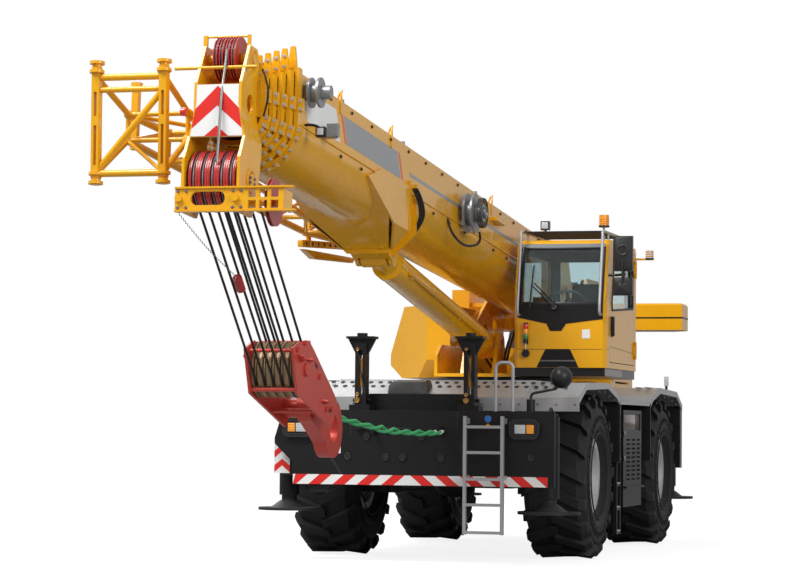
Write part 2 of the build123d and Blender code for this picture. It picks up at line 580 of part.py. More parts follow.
def fender_deck():
    """Deck plates over the frame and the four wheel arches with their legs."""
    nose_x = WHEELBASE / 2 + ARCH_FRONT
    deck_y = (-ARCH_INNER_Y - 20, ARCH_INNER_Y + 20)
    deck = cuboid((HOOD_FRONT_X + 50, DECK_SLOPE_X + 20), deck_y, (DECK_Z - DECK_PLATE, DECK_Z))
    deck -= disc_z(0, 0, RING_RADIUS + 40, DECK_Z - 50, DECK_Z + 20)
    slope = [(DECK_SLOPE_X, DECK_Z), (nose_x, DECK_NOSE_Z), (nose_x, DECK_NOSE_Z - DECK_PLATE),
             (DECK_SLOPE_X, DECK_Z - DECK_PLATE)]
    deck += plate_xz(slope, *deck_y)
    deck += cuboid((nose_x - 30, nose_x), (-DECK_HALF_WIDTH, DECK_HALF_WIDTH), (BUMPER_TOP_Z + 10, DECK_NOSE_Z))
    for axle_x in (WHEELBASE / 2, -WHEELBASE / 2):
        line = arch_points(axle_x)
        under = [(x, z - DECK_PLATE) for x, z in reversed(line)]
        roof = plate_xz(line + under, ARCH_INNER_Y, DECK_HALF_WIDTH)
        inner_x = line[-1][0] if axle_x > 0 else line[0][0]
        leg_x = sorted((inner_x, inner_x + (DECK_PLATE if axle_x > 0 else -DECK_PLATE)))
        roof += cuboid(leg_x, (ARCH_LEG_INNER_Y, DECK_HALF_WIDTH), (1010, WALKWAY_Z))
        skirt = [(x, z - 70) for x, z in reversed(line)]
        roof += plate_xz(line + skirt, DECK_HALF_WIDTH - DECK_PLATE, DECK_HALF_WIDTH)
        deck += both_sides(roof)
    walk_x = (-WHEELBASE / 2 + ARCH_REAR + 10, WHEELBASE / 2 - ARCH_REAR - 10)
    walk = cuboid(walk_x, (FRAME_HALF_WIDTH, DECK_HALF_WIDTH), (WALKWAY_Z - DECK_PLATE, WALKWAY_Z))
    riser = cuboid(walk_x, (ARCH_INNER_Y, ARCH_INNER_Y + DECK_PLATE), (WALKWAY_Z - 10, DECK_Z))
    deck += both_sides(walk + riser)
    for x in (-WHEELBASE / 2 + 50, -FRAME_STEP_X, FRAME_STEP_X, WHEELBASE / 2 - 50, DECK_SLOPE_X - 150):
        deck += cuboid((x - 15, x + 15), (-FRAME_HALF_WIDTH + 20, FRAME_HALF_WIDTH - 20), (FRAME_TOP_Z, DECK_Z - 10))
    rear_x = -WHEELBASE / 2 - ARCH_FRONT + 20
    flap = cuboid((rear_x, rear_x + DECK_PLATE), (ARCH_LEG_INNER_Y, DECK_HALF_WIDTH), (900, DECK_NOSE_Z + 10))
    return deck + both_sides(flap)


def engine_hood():
    """Engine hood behind the slewing ring: bevelled shell with louvres, open below."""
    front, rear, top, half = HOOD_FRONT_X, HOOD_REAR_X, HOOD_TOP_Z, HOOD_HALF_WIDTH
    side_face = [(front, FRAME_TOP_Z), (front, top - 120), (front - 150, top), (rear + 80, top), (rear, top - 100),
                 (rear, FRAME_TOP_Z)]
    hood = plate_xz(side_face, -half, half)
    hood = chamfer(hood.edges().filter_by(Axis.X).sort_by(Axis.Z)[-2:], 80)
    hollow = offset(outline(side_face), -PLATE, kind=Kind.INTERSECTION)
    hood -= plate_xz(hollow, -half + 90, half - 90)
    hood -= cuboid((rear + PLATE, front - PLATE), (-half + 90, half - 90), (FRAME_TOP_Z - 5, FRAME_TOP_Z + 60))
    for i in range(5):
        z = FRAME_TOP_Z + 180 + 70 * i
        hood -= cuboid((rear + 300, front - 300), (-half - 5, -half + 100), (z, z + 24))
        hood -= cuboid((rear + 300, front - 300), (half - 100, half + 5), (z, z + 24))
        hood -= cuboid((rear - 5, rear + PLATE + 5), (-600, 600), (z, z + 30))
    return hood


def side_locker():
    """Louvred cabinet on the left between the wheels, with a tread plate, hung from the frame."""
    rear, front = -470, LADDER_REAR_X - 65
    locker = cuboid((rear, front), (1000, 1620), (500, 1600))
    locker = chamfer(locker.edges().filter_by(Axis.X).sort_by(Axis.Z)[:1], 60)
    locker -= cuboid((rear + 60, front - 60), (1605, 1630), (1370, 1560))
    for i in range(10):
        z = 800 + 50 * i
        for x in (rear + 100, rear + 420, rear + 740):
            locker -= cuboid((x, x + 240), (1600, 1630), (z, z + 22))
    locker += cuboid((rear, front), (1610, 1660), (710, 735))
    for x in (rear + 100, front - 180):
        locker += cuboid((x, x + 80), (FRAME_HALF_WIDTH, 1010), (1320, 1440))
    return locker


def fuel_tank():
    """Fuel tank on the right between the wheels, with its filler neck and straps."""
    tank = cuboid((-830, 500), (-1600, -1000), (620, 1450))
    tank = fillet(tank.edges().filter_by(Axis.X), 90)
    tank += disc_z(300, -1450, 60, 1440, 1500)
    for x in (-600, 250):
        tank += cuboid((x, x + 80), (-1010, -FRAME_HALF_WIDTH), (1320, 1440))
    return tank


def front_ladder():
    """Ladder on the bumper, its two stiles on stand-offs."""
    rails = None
    for y in (640, 1030):
        rail = cuboid((BUMPER_FACE_X + 120, BUMPER_FACE_X + 160), (y - 17, y + 17), (300, 1500))
        rail += cuboid((BUMPER_FACE_X, BUMPER_FACE_X + 130), (y - 17, y + 17), (1420, 1480))
        rail += cuboid((BUMPER_FACE_X, BUMPER_FACE_X + 130), (y - 17, y + 17), (860, 900))
        rails = rail if rails is None else rails + rail
    for z in (320, 600, 860, 1130, 1390):
        rails += cuboid((BUMPER_FACE_X + 120, BUMPER_FACE_X + 160), (640, 1030), (z - 15, z + 15))
    return rails


def side_steps():
    """Ladder on each side between the front wheel and the locker or tank."""
    steps = None
    for side in (-1, 1):
        across = sorted((side * (DECK_HALF_WIDTH - 80), side * (DECK_HALF_WIDTH - 40)))
        for x in (LADDER_REAR_X, LADDER_FRONT_X):
            stile = cuboid((x - 15, x + 15), across, (205, WALKWAY_Z - DECK_PLATE))
            steps = stile if steps is None else steps + stile
        for i in range(6):
            z = 225 + 266 * i
            steps += cuboid((LADDER_REAR_X, LADDER_FRONT_X), across, (z - 18, z + 18))
    return steps


def rest_posts():
    """Two slotted posts on the bumper, each with a T-shaped head, gussets and a round boss on top."""
    x, top = OUTRIGGER_X + 100, BUMPER_TOP_Z + 700
    post = cuboid((x - 60, x + 60), (-60, 60), (BUMPER_TOP_Z, top))
    post -= cuboid((x - 70, x + 70), (-20, 20), (BUMPER_TOP_Z + 170, top - 70))
    post += cuboid((x - 100, x + 100), (-110, 110), (BUMPER_TOP_Z, BUMPER_TOP_Z + 60))
    post += plate_yz([(-60, top - 120), (60, top - 120), (150, top + 50), (150, top + 75), (-150, top + 75),
                      (-150, top + 50)], x - 20, x + 20)
    post += cuboid((x - 90, x + 90), (-150, 150), (top + 50, top + 75))
    post += disc_z(x, 0, 55, top + 70, top + 110)
    post += disc_y(x, BUMPER_TOP_Z + 110, 18, -95, 95)
    return Pos(0, 585, 0) * post + Pos(0, -585, 0) * post


def lamps():
    """Headlamp units on the bumper's face."""
    bezel = plate_yz(
        [(-155, -60), (-110, -100), (110, -100), (155, -60), (155, 60), (110, 100), (-110, 100), (-155, 60)],
        BUMPER_FACE_X, BUMPER_FACE_X + 60,
    )
    bezel -= cuboid((BUMPER_FACE_X + 30, BUMPER_FACE_X + 70), (-110, 110), (-60, 60))
    bezel += cuboid((BUMPER_FACE_X + 25, BUMPER_FACE_X + 50), (-105, 15), (-50, 50))
    bezel += cuboid((BUMPER_FACE_X + 25, BUMPER_FACE_X + 50), (25, 105), (-50, 50))
    return Pos(0, 1235, 1370) * bezel + Pos(0, -1180, 1370) * bezel


def round_mirrors():
    """Round view mirrors on bent stalks at the bumper's ends, a grab rail and the domed deck cover."""
    foot_x, foot_y, top = OUTRIGGER_X - 100, BOX_HALF_LENGTH - 60, BUMPER_TOP_Z
    parts = disc_z(foot_x, foot_y, 45, top, top + 130)
    route = [(0, 110), (0, 190), (260, 240), (320, 330)]
    parts += bent_tube([(foot_x, foot_y + y, top + z) for y, z in route], 14, 50)
    parts += Pos(foot_x, foot_y + 320, top + 360) * Sphere(115)
    right_x = OUTRIGGER_X + 200
    route = [(0, 0), (0, 90), (210, 210)]
    parts += bent_tube([(right_x, -foot_y - y, top + z) for y, z in route], 14, 50)
    parts += Pos(right_x, -foot_y - 220, top + 230) * Sphere(100)
    rail_x = OUTRIGGER_X + 300
    route = [(900, 0), (900, 500), (1080, 500), (1080, 0)]
    parts += bent_tube([(rail_x, y, top + z) for y, z in route], 17, 60)
    slope = (DECK_Z - DECK_NOSE_Z) / (WHEELBASE / 2 + ARCH_FRONT - DECK_SLOPE_X)
    rear, front = DECK_SLOPE_X + 60, WHEELBASE / 2 + ARCH_FRONT - 10
    low_rear, low_front = DECK_Z - slope * 60, DECK_NOSE_Z + slope * 10
    dome = plate_xz([(rear, low_rear), (front, low_front), (front - 70, 1860), (rear + 80, 1885), (rear, 1885)],
                    -430, -5)
    dome &= plate_yz([(-430, 1600), (-5, 1600), (-5, 1820), (-65, 1890), (-370, 1890), (-430, 1820)], rear, front)
    return parts + dome


def slew_ring():
    """Fixed slewing ring with its outer gear teeth."""
    root = RING_RADIUS - RING_TOOTH
    ring = disc_z(0, 0, root, FRAME_TOP_Z, RING_TOP_Z)
    pitch = 360 / RING_TEETH
    tooth_half = root * sin(radians(pitch / 2)) * 0.62
    tooth = plate_xy(
        [(root - 6, -tooth_half), (RING_RADIUS, -tooth_half * 0.6), (RING_RADIUS, tooth_half * 0.6), (root - 6, tooth_half)],
        FRAME_TOP_Z + 40, RING_TOP_Z - 15,
    )
    ring += [Rot(0, 0, pitch * i) * tooth for i in range(RING_TEETH)]
    return ring - disc_z(0, 0, RING_BORE, FRAME_TOP_Z - 5, RING_TOP_Z + 5)


# ================================================================ superstructure
def turntable():
    """Bearing ring, base plate, two side plates with the boom's pivot eyes, and the foot's lugs."""
    table = disc_z(0, 0, RING_RADIUS - 60, RING_TOP_Z + SEAT, TABLE_Z) - disc_z(0, 0, RING_BORE, 1800, 2100)
    table += cuboid((-1850, 1150), (-CHEEK_INNER_Y - CHEEK_PLATE, CHEEK_INNER_Y + CHEEK_PLATE),
                    (TABLE_Z, TABLE_Z + TABLE_PLATE))
    table -= disc_z(0, 0, 180, 1800, 2100)
    cheek_face = outline([
        (1150, TABLE_Z), (1150, 2200), (950, 2330), (250, 2330), (-500, 2560), (-1300, 2950), (-1850, 3130),
        (-2350, 3130), (-2750, 3000), (-2850, 3300), (-3620, 3300), (-3620, CHANNEL_Z), (-2980, CHANNEL_Z),
        (-2980, 2630), (-2160, 2630), (-1880, TABLE_Z),
    ])
    cheek_face += Pos(PIVOT_X, PIVOT_Z) * Circle(230)
    cheek_face -= Pos(PIVOT_X, PIVOT_Z) * Circle(PIVOT_RADIUS + SEAT)
    for x, z, radius in ((-1150, 2480, 170), (-500, 2280, 120), (-1650, 2650, 120)):
        cheek_face -= Pos(x, z) * Circle(radius)
    table += both_sides(plate_xz(cheek_face, CHEEK_INNER_Y, CHEEK_INNER_Y + CHEEK_PLATE))
    lug_face = outline([(380, TABLE_Z + 10), (1040, TABLE_Z + 10), (FOOT_X + 150, FOOT_Z), (FOOT_X - 150, FOOT_Z)])
    lug_face += Pos(FOOT_X, FOOT_Z) * Circle(150)
    lug_face -= Pos(FOOT_X, FOOT_Z) * Circle(LUFF_PIN_RADIUS + SEAT)
    table += both_sides(plate_xz(lug_face, LUG_GAP, LUG_GAP + LUG_PLATE))
    table += cuboid((-2700, -2660), (-CHEEK_INNER_Y - 10, CHEEK_INNER_Y + 10), (2640, 2800))
    table += cuboid((-2750, -1850), (-1040, -820), (2880, 3110))
    for x in (-2650, -2000):
        table += cuboid((x, x + 50), (-830, -CHEEK_INNER_Y - CHEEK_PLATE + 5), (2900, 2950))
    return table


def counterweight():
    """Counterweight slab behind the winches, with a channel for the side plates."""
    plan = [
        (WEIGHT_FRONT_X, -WEIGHT_HALF_WIDTH), (WEIGHT_FRONT_X, WEIGHT_HALF_WIDTH),
        (WEIGHT_REAR_X + 200, WEIGHT_HALF_WIDTH), (WEIGHT_REAR_X, WEIGHT_HALF_WIDTH - 200),
        (WEIGHT_REAR_X, -WEIGHT_HALF_WIDTH + 200), (WEIGHT_REAR_X + 200, -WEIGHT_HALF_WIDTH),
    ]
    slab = plate_xy(plan, WEIGHT_BOTTOM_Z, WEIGHT_TOP_Z)
    slab = chamfer(slab.edges().group_by(Axis.Z)[-1], 25)
    channel = CHEEK_INNER_Y + CHEEK_PLATE
    slab -= cuboid((WEIGHT_REAR_X - 10, WEIGHT_FRONT_X + 10), (-channel, channel), (CHANNEL_Z, WEIGHT_TOP_Z + 100))
    return slab


def winches():
    """Main and auxiliary winch drums between the side plates."""
    drums = None
    for x in (-3090, -3480):
        drum = disc_y(x, WINCH_Z, 130, -380, 380)
        for y in (-380, 380):
            drum += disc_y(x, WINCH_Z, 185, y - 12, y + 12)
        drum += disc_y(x, WINCH_Z, 60, -CHEEK_INNER_Y, CHEEK_INNER_Y)
        drums = drum if drums is None else drums + drum
    return drums


def side_housing():
    """Bevelled housing of tank and pumps on the superstructure's right side."""
    inner = -CHEEK_INNER_Y - CHEEK_PLATE
    low, top, rear, front = UPPER_BOTTOM_Z, 2810, -1600, 420
    body = plate_yz([(inner, low), (-1180, low), (-1380, low + 155), (-1380, low + 285), (-1150, top), (inner, top)],
                    rear, front)
    body &= plate_xz([(rear, low), (front - 150, low), (front, low + 205), (front, top), (rear, top)], -1500, inner)
    body &= plate_xy([(rear, inner), (rear, -1400), (-260, -1400), (front, -760), (front, inner)], low, top)
    return body


def cab_outline(inset):
    """Cab's side outline in x and z, drawn in by an inset."""
    line = outline([
        (CAB_REAR_X, CAB_FLOOR_Z), (CAB_FRONT_X, CAB_FLOOR_Z), (CAB_FRONT_X, 2760), (1230, 3440), (1160, CAB_ROOF_Z),
        (CAB_REAR_X + 90, CAB_ROOF_Z), (CAB_REAR_X, 3400),
    ])
    return offset(line, -inset, kind=Kind.INTERSECTION) if inset else line


DOOR_FACE = [
    (DOOR_REAR_X, DOOR_BOTTOM_Z), (DOOR_FRONT_X, DOOR_BOTTOM_Z), (DOOR_FRONT_X, 2800), (1080, 3340),
    (1020, DOOR_TOP_Z), (DOOR_REAR_X, DOOR_TOP_Z),
]
DOOR_WINDOW = [(-200, 2780), (1090, 2700), (1110, 2790), (990, 3300), (960, 3330), (-200, 3330)]


def cab_shell():
    """Hollow cab on its base, with the windows and the doorway cut out."""
    shell = plate_xz(cab_outline(0), CAB_INNER_Y, CAB_OUTER_Y)
    shell = chamfer(shell.edges().filter_by(Axis.Z), 40)
    shell -= plate_xz(cab_outline(CAB_WALL), CAB_INNER_Y + CAB_WALL, CAB_OUTER_Y - CAB_WALL)
    middle = (CAB_INNER_Y + CAB_OUTER_Y) / 2
    shell -= cuboid((CAB_FRONT_X - 250, CAB_FRONT_X + 20), (middle - SCREEN_HALF_WIDTH, middle + SCREEN_HALF_WIDTH),
                    (SCREEN_BOTTOM_Z, SCREEN_TOP_Z))
    shell -= cuboid((CAB_REAR_X - 10, CAB_REAR_X + CAB_WALL + 10),
                    (middle - REAR_PANE_HALF_WIDTH, middle + REAR_PANE_HALF_WIDTH), (REAR_PANE_BOTTOM_Z, REAR_PANE_TOP_Z))
    shell -= plate_xz(SIDE_WINDOW, CAB_INNER_Y - 10, CAB_INNER_Y + CAB_WALL + 10)
    doorway = offset(outline(DOOR_FACE), DOOR_GAP, kind=Kind.INTERSECTION)
    shell -= plate_xz(doorway, CAB_OUTER_Y - CAB_WALL - 10, CAB_OUTER_Y + 10)
    base = cuboid((CAB_REAR_X + 20, CAB_FRONT_X - 40), (CAB_INNER_Y, CAB_OUTER_Y - 20), (UPPER_BOTTOM_Z, CAB_FLOOR_Z))
    return shell + base + cuboid((CAB_REAR_X + 100, CAB_FRONT_X - 250),
                                 (CHEEK_INNER_Y + CHEEK_PLATE, CAB_INNER_Y + 5), (1970, 2040))


SIDE_WINDOW = [(-350, 2780), (1100, 2780), (1100, 2860), (990, 3350), (-350, 3350)]


def cab_glass():
    """Fixed panes of the cab: windscreen, right side and rear."""
    middle = (CAB_INNER_Y + CAB_OUTER_Y) / 2
    screen_y = (middle - SCREEN_HALF_WIDTH + SEAT, middle + SCREEN_HALF_WIDTH - SEAT)
    screen = plate_xz(cab_outline(12), *screen_y)
    screen -= plate_xz(cab_outline(12 + GLASS), middle - 600, middle + 600)
    screen &= cuboid((CAB_FRONT_X - 250, CAB_FRONT_X), (CAB_INNER_Y, CAB_OUTER_Y),
                     (SCREEN_BOTTOM_Z + SEAT, SCREEN_TOP_Z - SEAT))
    side = offset(outline(SIDE_WINDOW), -SEAT, kind=Kind.INTERSECTION)
    panes = screen + plate_xz(side, CAB_INNER_Y + 20, CAB_INNER_Y + 20 + GLASS)
    panes += cuboid((CAB_REAR_X + 20, CAB_REAR_X + 20 + GLASS),
                    (middle - REAR_PANE_HALF_WIDTH + SEAT, middle + REAR_PANE_HALF_WIDTH - SEAT),
                    (REAR_PANE_BOTTOM_Z + SEAT, REAR_PANE_TOP_Z - SEAT))
    return panes


def cab_door():
    """Door panel as thick as the wall, with its window cut out and its handle."""
    door = plate_xz(DOOR_FACE, CAB_OUTER_Y - CAB_WALL, CAB_OUTER_Y)
    door -= plate_xz(DOOR_WINDOW, CAB_OUTER_Y - CAB_WALL - 5, CAB_OUTER_Y + 5)
    door += cuboid((1080, 1110), (CAB_OUTER_Y - 5, CAB_OUTER_Y + 35), (2420, 2640))
    for z in (2300, 3250):
        door += disc_z(DOOR_HINGE_X, DOOR_HINGE_Y, 14, z - 60, z + 60)
        door += cuboid((DOOR_HINGE_X, DOOR_REAR_X + 60), (CAB_OUTER_Y - 1, CAB_OUTER_Y + 14), (z - 60, z + 60))
    return door


def door_hinges():
    """Hinge leaves on the cab's wall, above and below each of the door's knuckles."""
    leaves = None
    for z in (2300, 3250):
        for low, high in ((z - 60 - 40, z - 60 - SEAT), (z + 60 + SEAT, z + 60 + 40)):
            leaf = disc_z(DOOR_HINGE_X, DOOR_HINGE_Y, 14, low, high)
            leaf += cuboid((DOOR_HINGE_X - 70, DOOR_HINGE_X), (CAB_OUTER_Y - 1, CAB_OUTER_Y + 14), (low, high))
            leaves = leaf if leaves is None else leaves + leaf
    return leaves


def door_glass():
    """Pane of the door."""
    pane = offset(outline(DOOR_WINDOW), -SEAT, kind=Kind.INTERSECTION)
    return plate_xz(pane, CAB_OUTER_Y - 30, CAB_OUTER_Y - 30 + GLASS)


def cab_interior():
    """Control console, steering column and the seat's pedestal."""
    floor = CAB_FLOOR_Z + CAB_WALL
    middle = (CAB_INNER_Y + CAB_OUTER_Y) / 2
    parts = cuboid((-120, 280), (middle - 180, middle + 180), (floor, floor + 260))
    for y in (middle - 370, middle + 250):
        parts += cuboid((-60, 560), (y, y + 120), (floor, floor + 620))
    parts += cuboid((1080, 1250), (middle - 330, middle + 330), (floor, floor + 520))
    parts += bar((1100, middle, floor + 480), (900, middle, floor + 700), 35)
    wheel = Plane(origin=(900, middle, floor + 700), z_dir=(-200, 0, 220)) * Torus(190, 16)
    spokes = Plane(origin=(900, middle, floor + 700), z_dir=(-200, 0, 220)) * Box(380, 40, 20)
    return parts + wheel + spokes


def cab_seat():
    """Seat cushion and backrest."""
    floor = CAB_FLOOR_Z + CAB_WALL + 260 + SEAT
    middle = (CAB_INNER_Y + CAB_OUTER_Y) / 2
    cushion = cuboid((-170, 330), (middle - 235, middle + 235), (floor, floor + 130))
    back = plate_xz([(-170, floor + 60), (-60, floor + 60), (-160, floor + 760), (-270, floor + 760)],
                    middle - 225, middle + 225)
    return cushion + back


def cab_fittings():
    """Roof guard, lamp, beacon, door mirrors and grab rails of the cab."""
    middle = (CAB_INNER_Y + CAB_OUTER_Y) / 2
    parts = None
    for y in (CAB_INNER_Y + 60, CAB_OUTER_Y - 60):
        top = CAB_ROOF_Z + 90
        rail = bent_tube([(-250, y, top), (1325, y, top), (1500, y, 2760), (1500, y, 2650), (CAB_FRONT_X, y, 2650)],
                         16, 45)
        for x in (1000, 350, -200):
            rail += bar((x, y, CAB_ROOF_Z), (x, y, top), 12)
        parts = rail if parts is None else parts + rail
    for x in (1100, 650, 200):
        parts += bar((x, CAB_INNER_Y + 60, CAB_ROOF_Z + 90), (x, CAB_OUTER_Y - 60, CAB_ROOF_Z + 90), 12)
    parts += cuboid((1080, 1150), (750, 850), (CAB_ROOF_Z + 120, CAB_ROOF_Z + 220))
    parts += bar((1110, 800, CAB_ROOF_Z + 80), (1110, 800, CAB_ROOF_Z + 130), 14)
    parts += bar((900, 1430, CAB_ROOF_Z), (900, 1430, CAB_ROOF_Z + 170), 14)
    parts += disc_z(900, 1430, 55, CAB_ROOF_Z + 160, CAB_ROOF_Z + 300)
    return parts


def mirrors():
    """Two square mirrors on an arm at the cab's front left pillar, and the beacon's arm at its rear."""
    x = CAB_FRONT_X
    arm = bent_tube([(x - 110, CAB_OUTER_Y, 3095), (x - 110, 1650, 3095), (x + 28, 1770, 3095)], 15, 40)
    arm += bar((x + 25, 1760, 2900), (x + 25, 1760, 3400), 12)
    arm += cuboid((x, x + 50), (1640, MIRROR_OUTER_Y), (3130, 3520))
    arm += cuboid((x, x + 50), (1640, MIRROR_OUTER_Y), (2860, 3060))
    arm += cuboid((CAB_REAR_X + 45, CAB_REAR_X + 105), (CAB_OUTER_Y, CAB_OUTER_Y + 210), (3368, 3388))
    arm += disc_z(CAB_REAR_X + 75, CAB_OUTER_Y + 165, 45, 3380, 3480)
    return arm


# ================================================================ luffing cylinder
LUFF = Pos(FOOT_X, 0, FOOT_Z) * Rot(0, -LUFF_ANGLE, 0)


def luff_barrel():
    """Barrel with its foot eye and gland collar, x along the cylinder from the foot."""
    barrel = bar((120, 0, 0), (BARREL_END, 0, 0), BARREL_RADIUS)
    barrel += bar((BARREL_END - 130, 0, 0), (BARREL_END, 0, 0), BARREL_RADIUS + 6)
    barrel += disc_y(0, 0, FOOT_EYE_RADIUS, -LUG_GAP + 5, LUG_GAP - 5)
    barrel -= bar((260, 0, 0), (BARREL_END + 5, 0, 0), ROD_RADIUS + SEAT)
    pipe_y = BARREL_RADIUS + 15
    barrel += bar((500, pipe_y, -40), (BARREL_END - 260, pipe_y, -40), 18)
    for x in (600, 1800, BARREL_END - 400):
        barrel += cuboid((x, x + 60), (BARREL_RADIUS - 40, pipe_y), (-70, -10))
    return barrel


def luff_rod():
    """Rod with its upper eye and a bore for the boom's pin."""
    rod = bar((560, 0, 0), (LUFF_LENGTH - 60, 0, 0), ROD_RADIUS)
    rod += disc_y(LUFF_LENGTH, 0, LUFF_EYE_RADIUS, -130, 130)
    return rod - disc_y(LUFF_LENGTH, 0, LUFF_PIN_RADIUS + SEAT, -140, 140)


# ================================================================ boom
def trough(shrink, grow=0.0):
    """U-shaped section outline in y and z: flat top, straight sides, half-round belly."""
    width = BOOM_WIDTH - 2 * shrink + 2 * grow
    height = BOOM_HEIGHT - 2 * shrink + 2 * grow
    belly_z = BOOM_AXIS_Z - height / 2 + width / 2
    top_z = BOOM_AXIS_Z + height / 2
    shape = Pos(0, (belly_z + top_z) / 2) * Rectangle(width, top_z - belly_z)
    return shape + Pos(0, belly_z) * Circle(width / 2)


def boom_tube(index):
    """Boom section with its front collar, collar ears, bolted pads and wear pads; index 0 is the base."""
    shrink = BOOM_STEP * index
    front = BASE_FRONT_X + COLLAR_PITCH * index
    rear = BOOM_TAIL_X if index == 0 else SECTION_TAIL_X + TAIL_PITCH * (index - 1)
    outer, inner = trough(shrink), trough(shrink + BOOM_WALL)
    tube = plate_yz(outer - inner, rear, front)
    tube += plate_yz(trough(shrink, COLLAR_RISE) - inner, front - COLLAR_LENGTH, front)
    half = BOOM_WIDTH / 2 - shrink
    top = BOOM_AXIS_Z + BOOM_HEIGHT / 2 - shrink
    belly_z = BOOM_AXIS_Z - BOOM_HEIGHT / 2 + BOOM_WIDTH / 2
    for side in (-1, 1):
        foot = sorted((side * (half - 95), side * (half - 5)))
        tip = sorted((side * (half - 70), side * (half - 30)))
        tube += plate_yz([(foot[0], top), (foot[1], top), (tip[1], top + 215), (tip[0], top + 215)],
                         front - 60, front - 30)
        for angle in (-22, 14, 38, 62):       # pads bolted round the collar, from the side to the belly
            reach = half + 20
            drop = reach * sin(radians(angle)) if angle > 0 else -150
            out = reach * cos(radians(angle)) if angle > 0 else reach
            turn = -side * angle if angle > 0 else 0
            tube += Pos(front - 58, side * out, belly_z - drop) * Rot(turn, 0, 0) * Box(60, 66, 110)
    if index < SECTION_COUNT - 1:
        pad = BOOM_STEP - BOOM_WALL - SEAT
        inner_top = top - BOOM_WALL
        for y in (-half * 0.5, half * 0.5):
            tube += cuboid((front - 80, front), (y - 60, y + 60), (inner_top - pad, inner_top + 1))
        for side in (-1, 1):
            wall = side * (half - BOOM_WALL)
            tube += cuboid((front - 80, front), sorted((wall - side * pad, wall + side)),
                           (BOOM_AXIS_Z + 40, BOOM_AXIS_Z + 160))
    return tube


def luff_bracket():
    """Bracket under the base section: lugs at the rod's eye, folded sides and an inclined front plate."""
    eye_x, eye_z = to_boom(EYE_X, EYE_Z)
    low_x, low_z, high_x, high_z = eye_x + 145, eye_z - 56, eye_x + 1770, eye_z + 478
    tilt = atan2(high_z - low_z, high_x - low_x)
    run = hypot(high_x - low_x, high_z - low_z)
    incline = Plane(origin=(low_x, 0, low_z), x_dir=(cos(tilt), 0, sin(tilt)), z_dir=(-sin(tilt), 0, cos(tilt)))
    half = [(0, 170), (0.56 * run, BRACKET_Y), (run, BRACKET_Y)]
    bracket = extrude(incline * outline(half + [(x, -y) for x, y in reversed(half)]), PLATE)
    fold_z = eye_z + 181
    fold_x = low_x + (fold_z - low_z) / tan(tilt)
    rear_x = eye_x + 325
    side = outline([(rear_x, BOOM_AXIS_Z + 30), (rear_x, fold_z), (fold_x, fold_z), (high_x, high_z),
                    (high_x - 400, BOOM_AXIS_Z + 30)])
    fold = plate_yz([(BRACKET_Y, fold_z), (200, low_z), (180, low_z), (BRACKET_Y - PLATE, fold_z)], rear_x, fold_x)
    fold -= plate_xz([(low_x, low_z), (high_x, high_z), (high_x, low_z - 300), (low_x, low_z - 300)], 0, 500)
    bracket += both_sides(plate_xz(side, BRACKET_Y - PLATE, BRACKET_Y) + fold)
    flange = outline([(LUFF_LUG_Y, -100), (LUFF_LUG_Y, low_z + 20), (200, low_z + 20), (BRACKET_Y + 10, fold_z),
                      (BRACKET_Y + 10, BOOM_AXIS_Z + 90), (BRACKET_Y - 40, BOOM_AXIS_Z + 90)])
    bracket += both_sides(plate_yz(flange, rear_x, rear_x + PLATE) + plate_yz(flange, eye_x + 90, eye_x + 110))
    bracket += plate_yz([(-160, -100), (160, -100), (160, low_z + 20), (-160, low_z + 20)], rear_x, rear_x + PLATE)
    lug = outline([(eye_x - 330, -120), (eye_x - 90, eye_z - 66), (eye_x + 60, eye_z - 80), (rear_x + 60, low_z + 70),
                   (rear_x + 300, -120)])
    lug += Pos(eye_x, eye_z) * Circle(LUFF_EYE_RADIUS - 10)
    bracket += both_sides(plate_xz(lug, LUFF_LUG_Y, LUFF_LUG_Y + 40))
    bracket -= plate_yz(trough(0, -1), eye_x - 800, eye_x + 2000)
    return bracket + disc_y(eye_x, eye_z, LUFF_PIN_RADIUS, -LUFF_LUG_Y - 40, LUFF_LUG_Y + 40)


def boom_base():
    """Base section with the pivot shaft, luffing bracket and jib carriers."""
    tube = boom_tube(0)
    tube -= plate_xz([(BOOM_TAIL_X - 10, BOOM_AXIS_Z), (BOOM_TAIL_X - 10, 700), (180, 700)], -600, 600)
    tube += disc_y(0, 0, PIVOT_RADIUS, -CHEEK_INNER_Y - CHEEK_PLATE - 25, CHEEK_INNER_Y + CHEEK_PLATE + 25)
    tube += disc_y(0, 0, 170, -BOOM_WIDTH / 2 - 20, BOOM_WIDTH / 2 + 20)
    tube += luff_bracket()
    for x, z in ((4850, 110), (10300, 200)):
        tube += cuboid((x, x + 120), (JIB_INNER_Y + JIB_CHORD + SEAT, -BOOM_WIDTH / 2 + 20), (z - 40, z + 40))
    tube += cuboid((3900, 4300), (BOOM_WIDTH / 2 - 5, BOOM_WIDTH / 2 + 90), (380, 420))
    return tube


def root_post(y):
    """Post of the jib's root frame: a slotted box, leaning forward, with a spool at each end."""
    low_x, high_x = JIB_ROOT_X, JIB_ROOT_X + JIB_ROOT_LEAN
    post = plate_xz([(low_x - 38, JIB_ROOT_LOW_Z), (low_x + 38, JIB_ROOT_LOW_Z), (high_x + 38, JIB_ROOT_HIGH_Z),
                     (high_x - 38, JIB_ROOT_HIGH_Z)], y - 34, y + 34)
    for low, high in ((-320, 10), (90, 290)):
        post -= cuboid((low_x - 60, high_x + 60), (y - 12, y + 12), (low, high))
    for x, z in ((low_x, JIB_ROOT_LOW_Z), (high_x, JIB_ROOT_HIGH_Z)):
        post += disc_z(x, y, 40, z - 55, z + 55)
        post += disc_z(x, y, 62, z - 50, z - 25) + disc_z(x, y, 62, z + 25, z + 50)
    return post


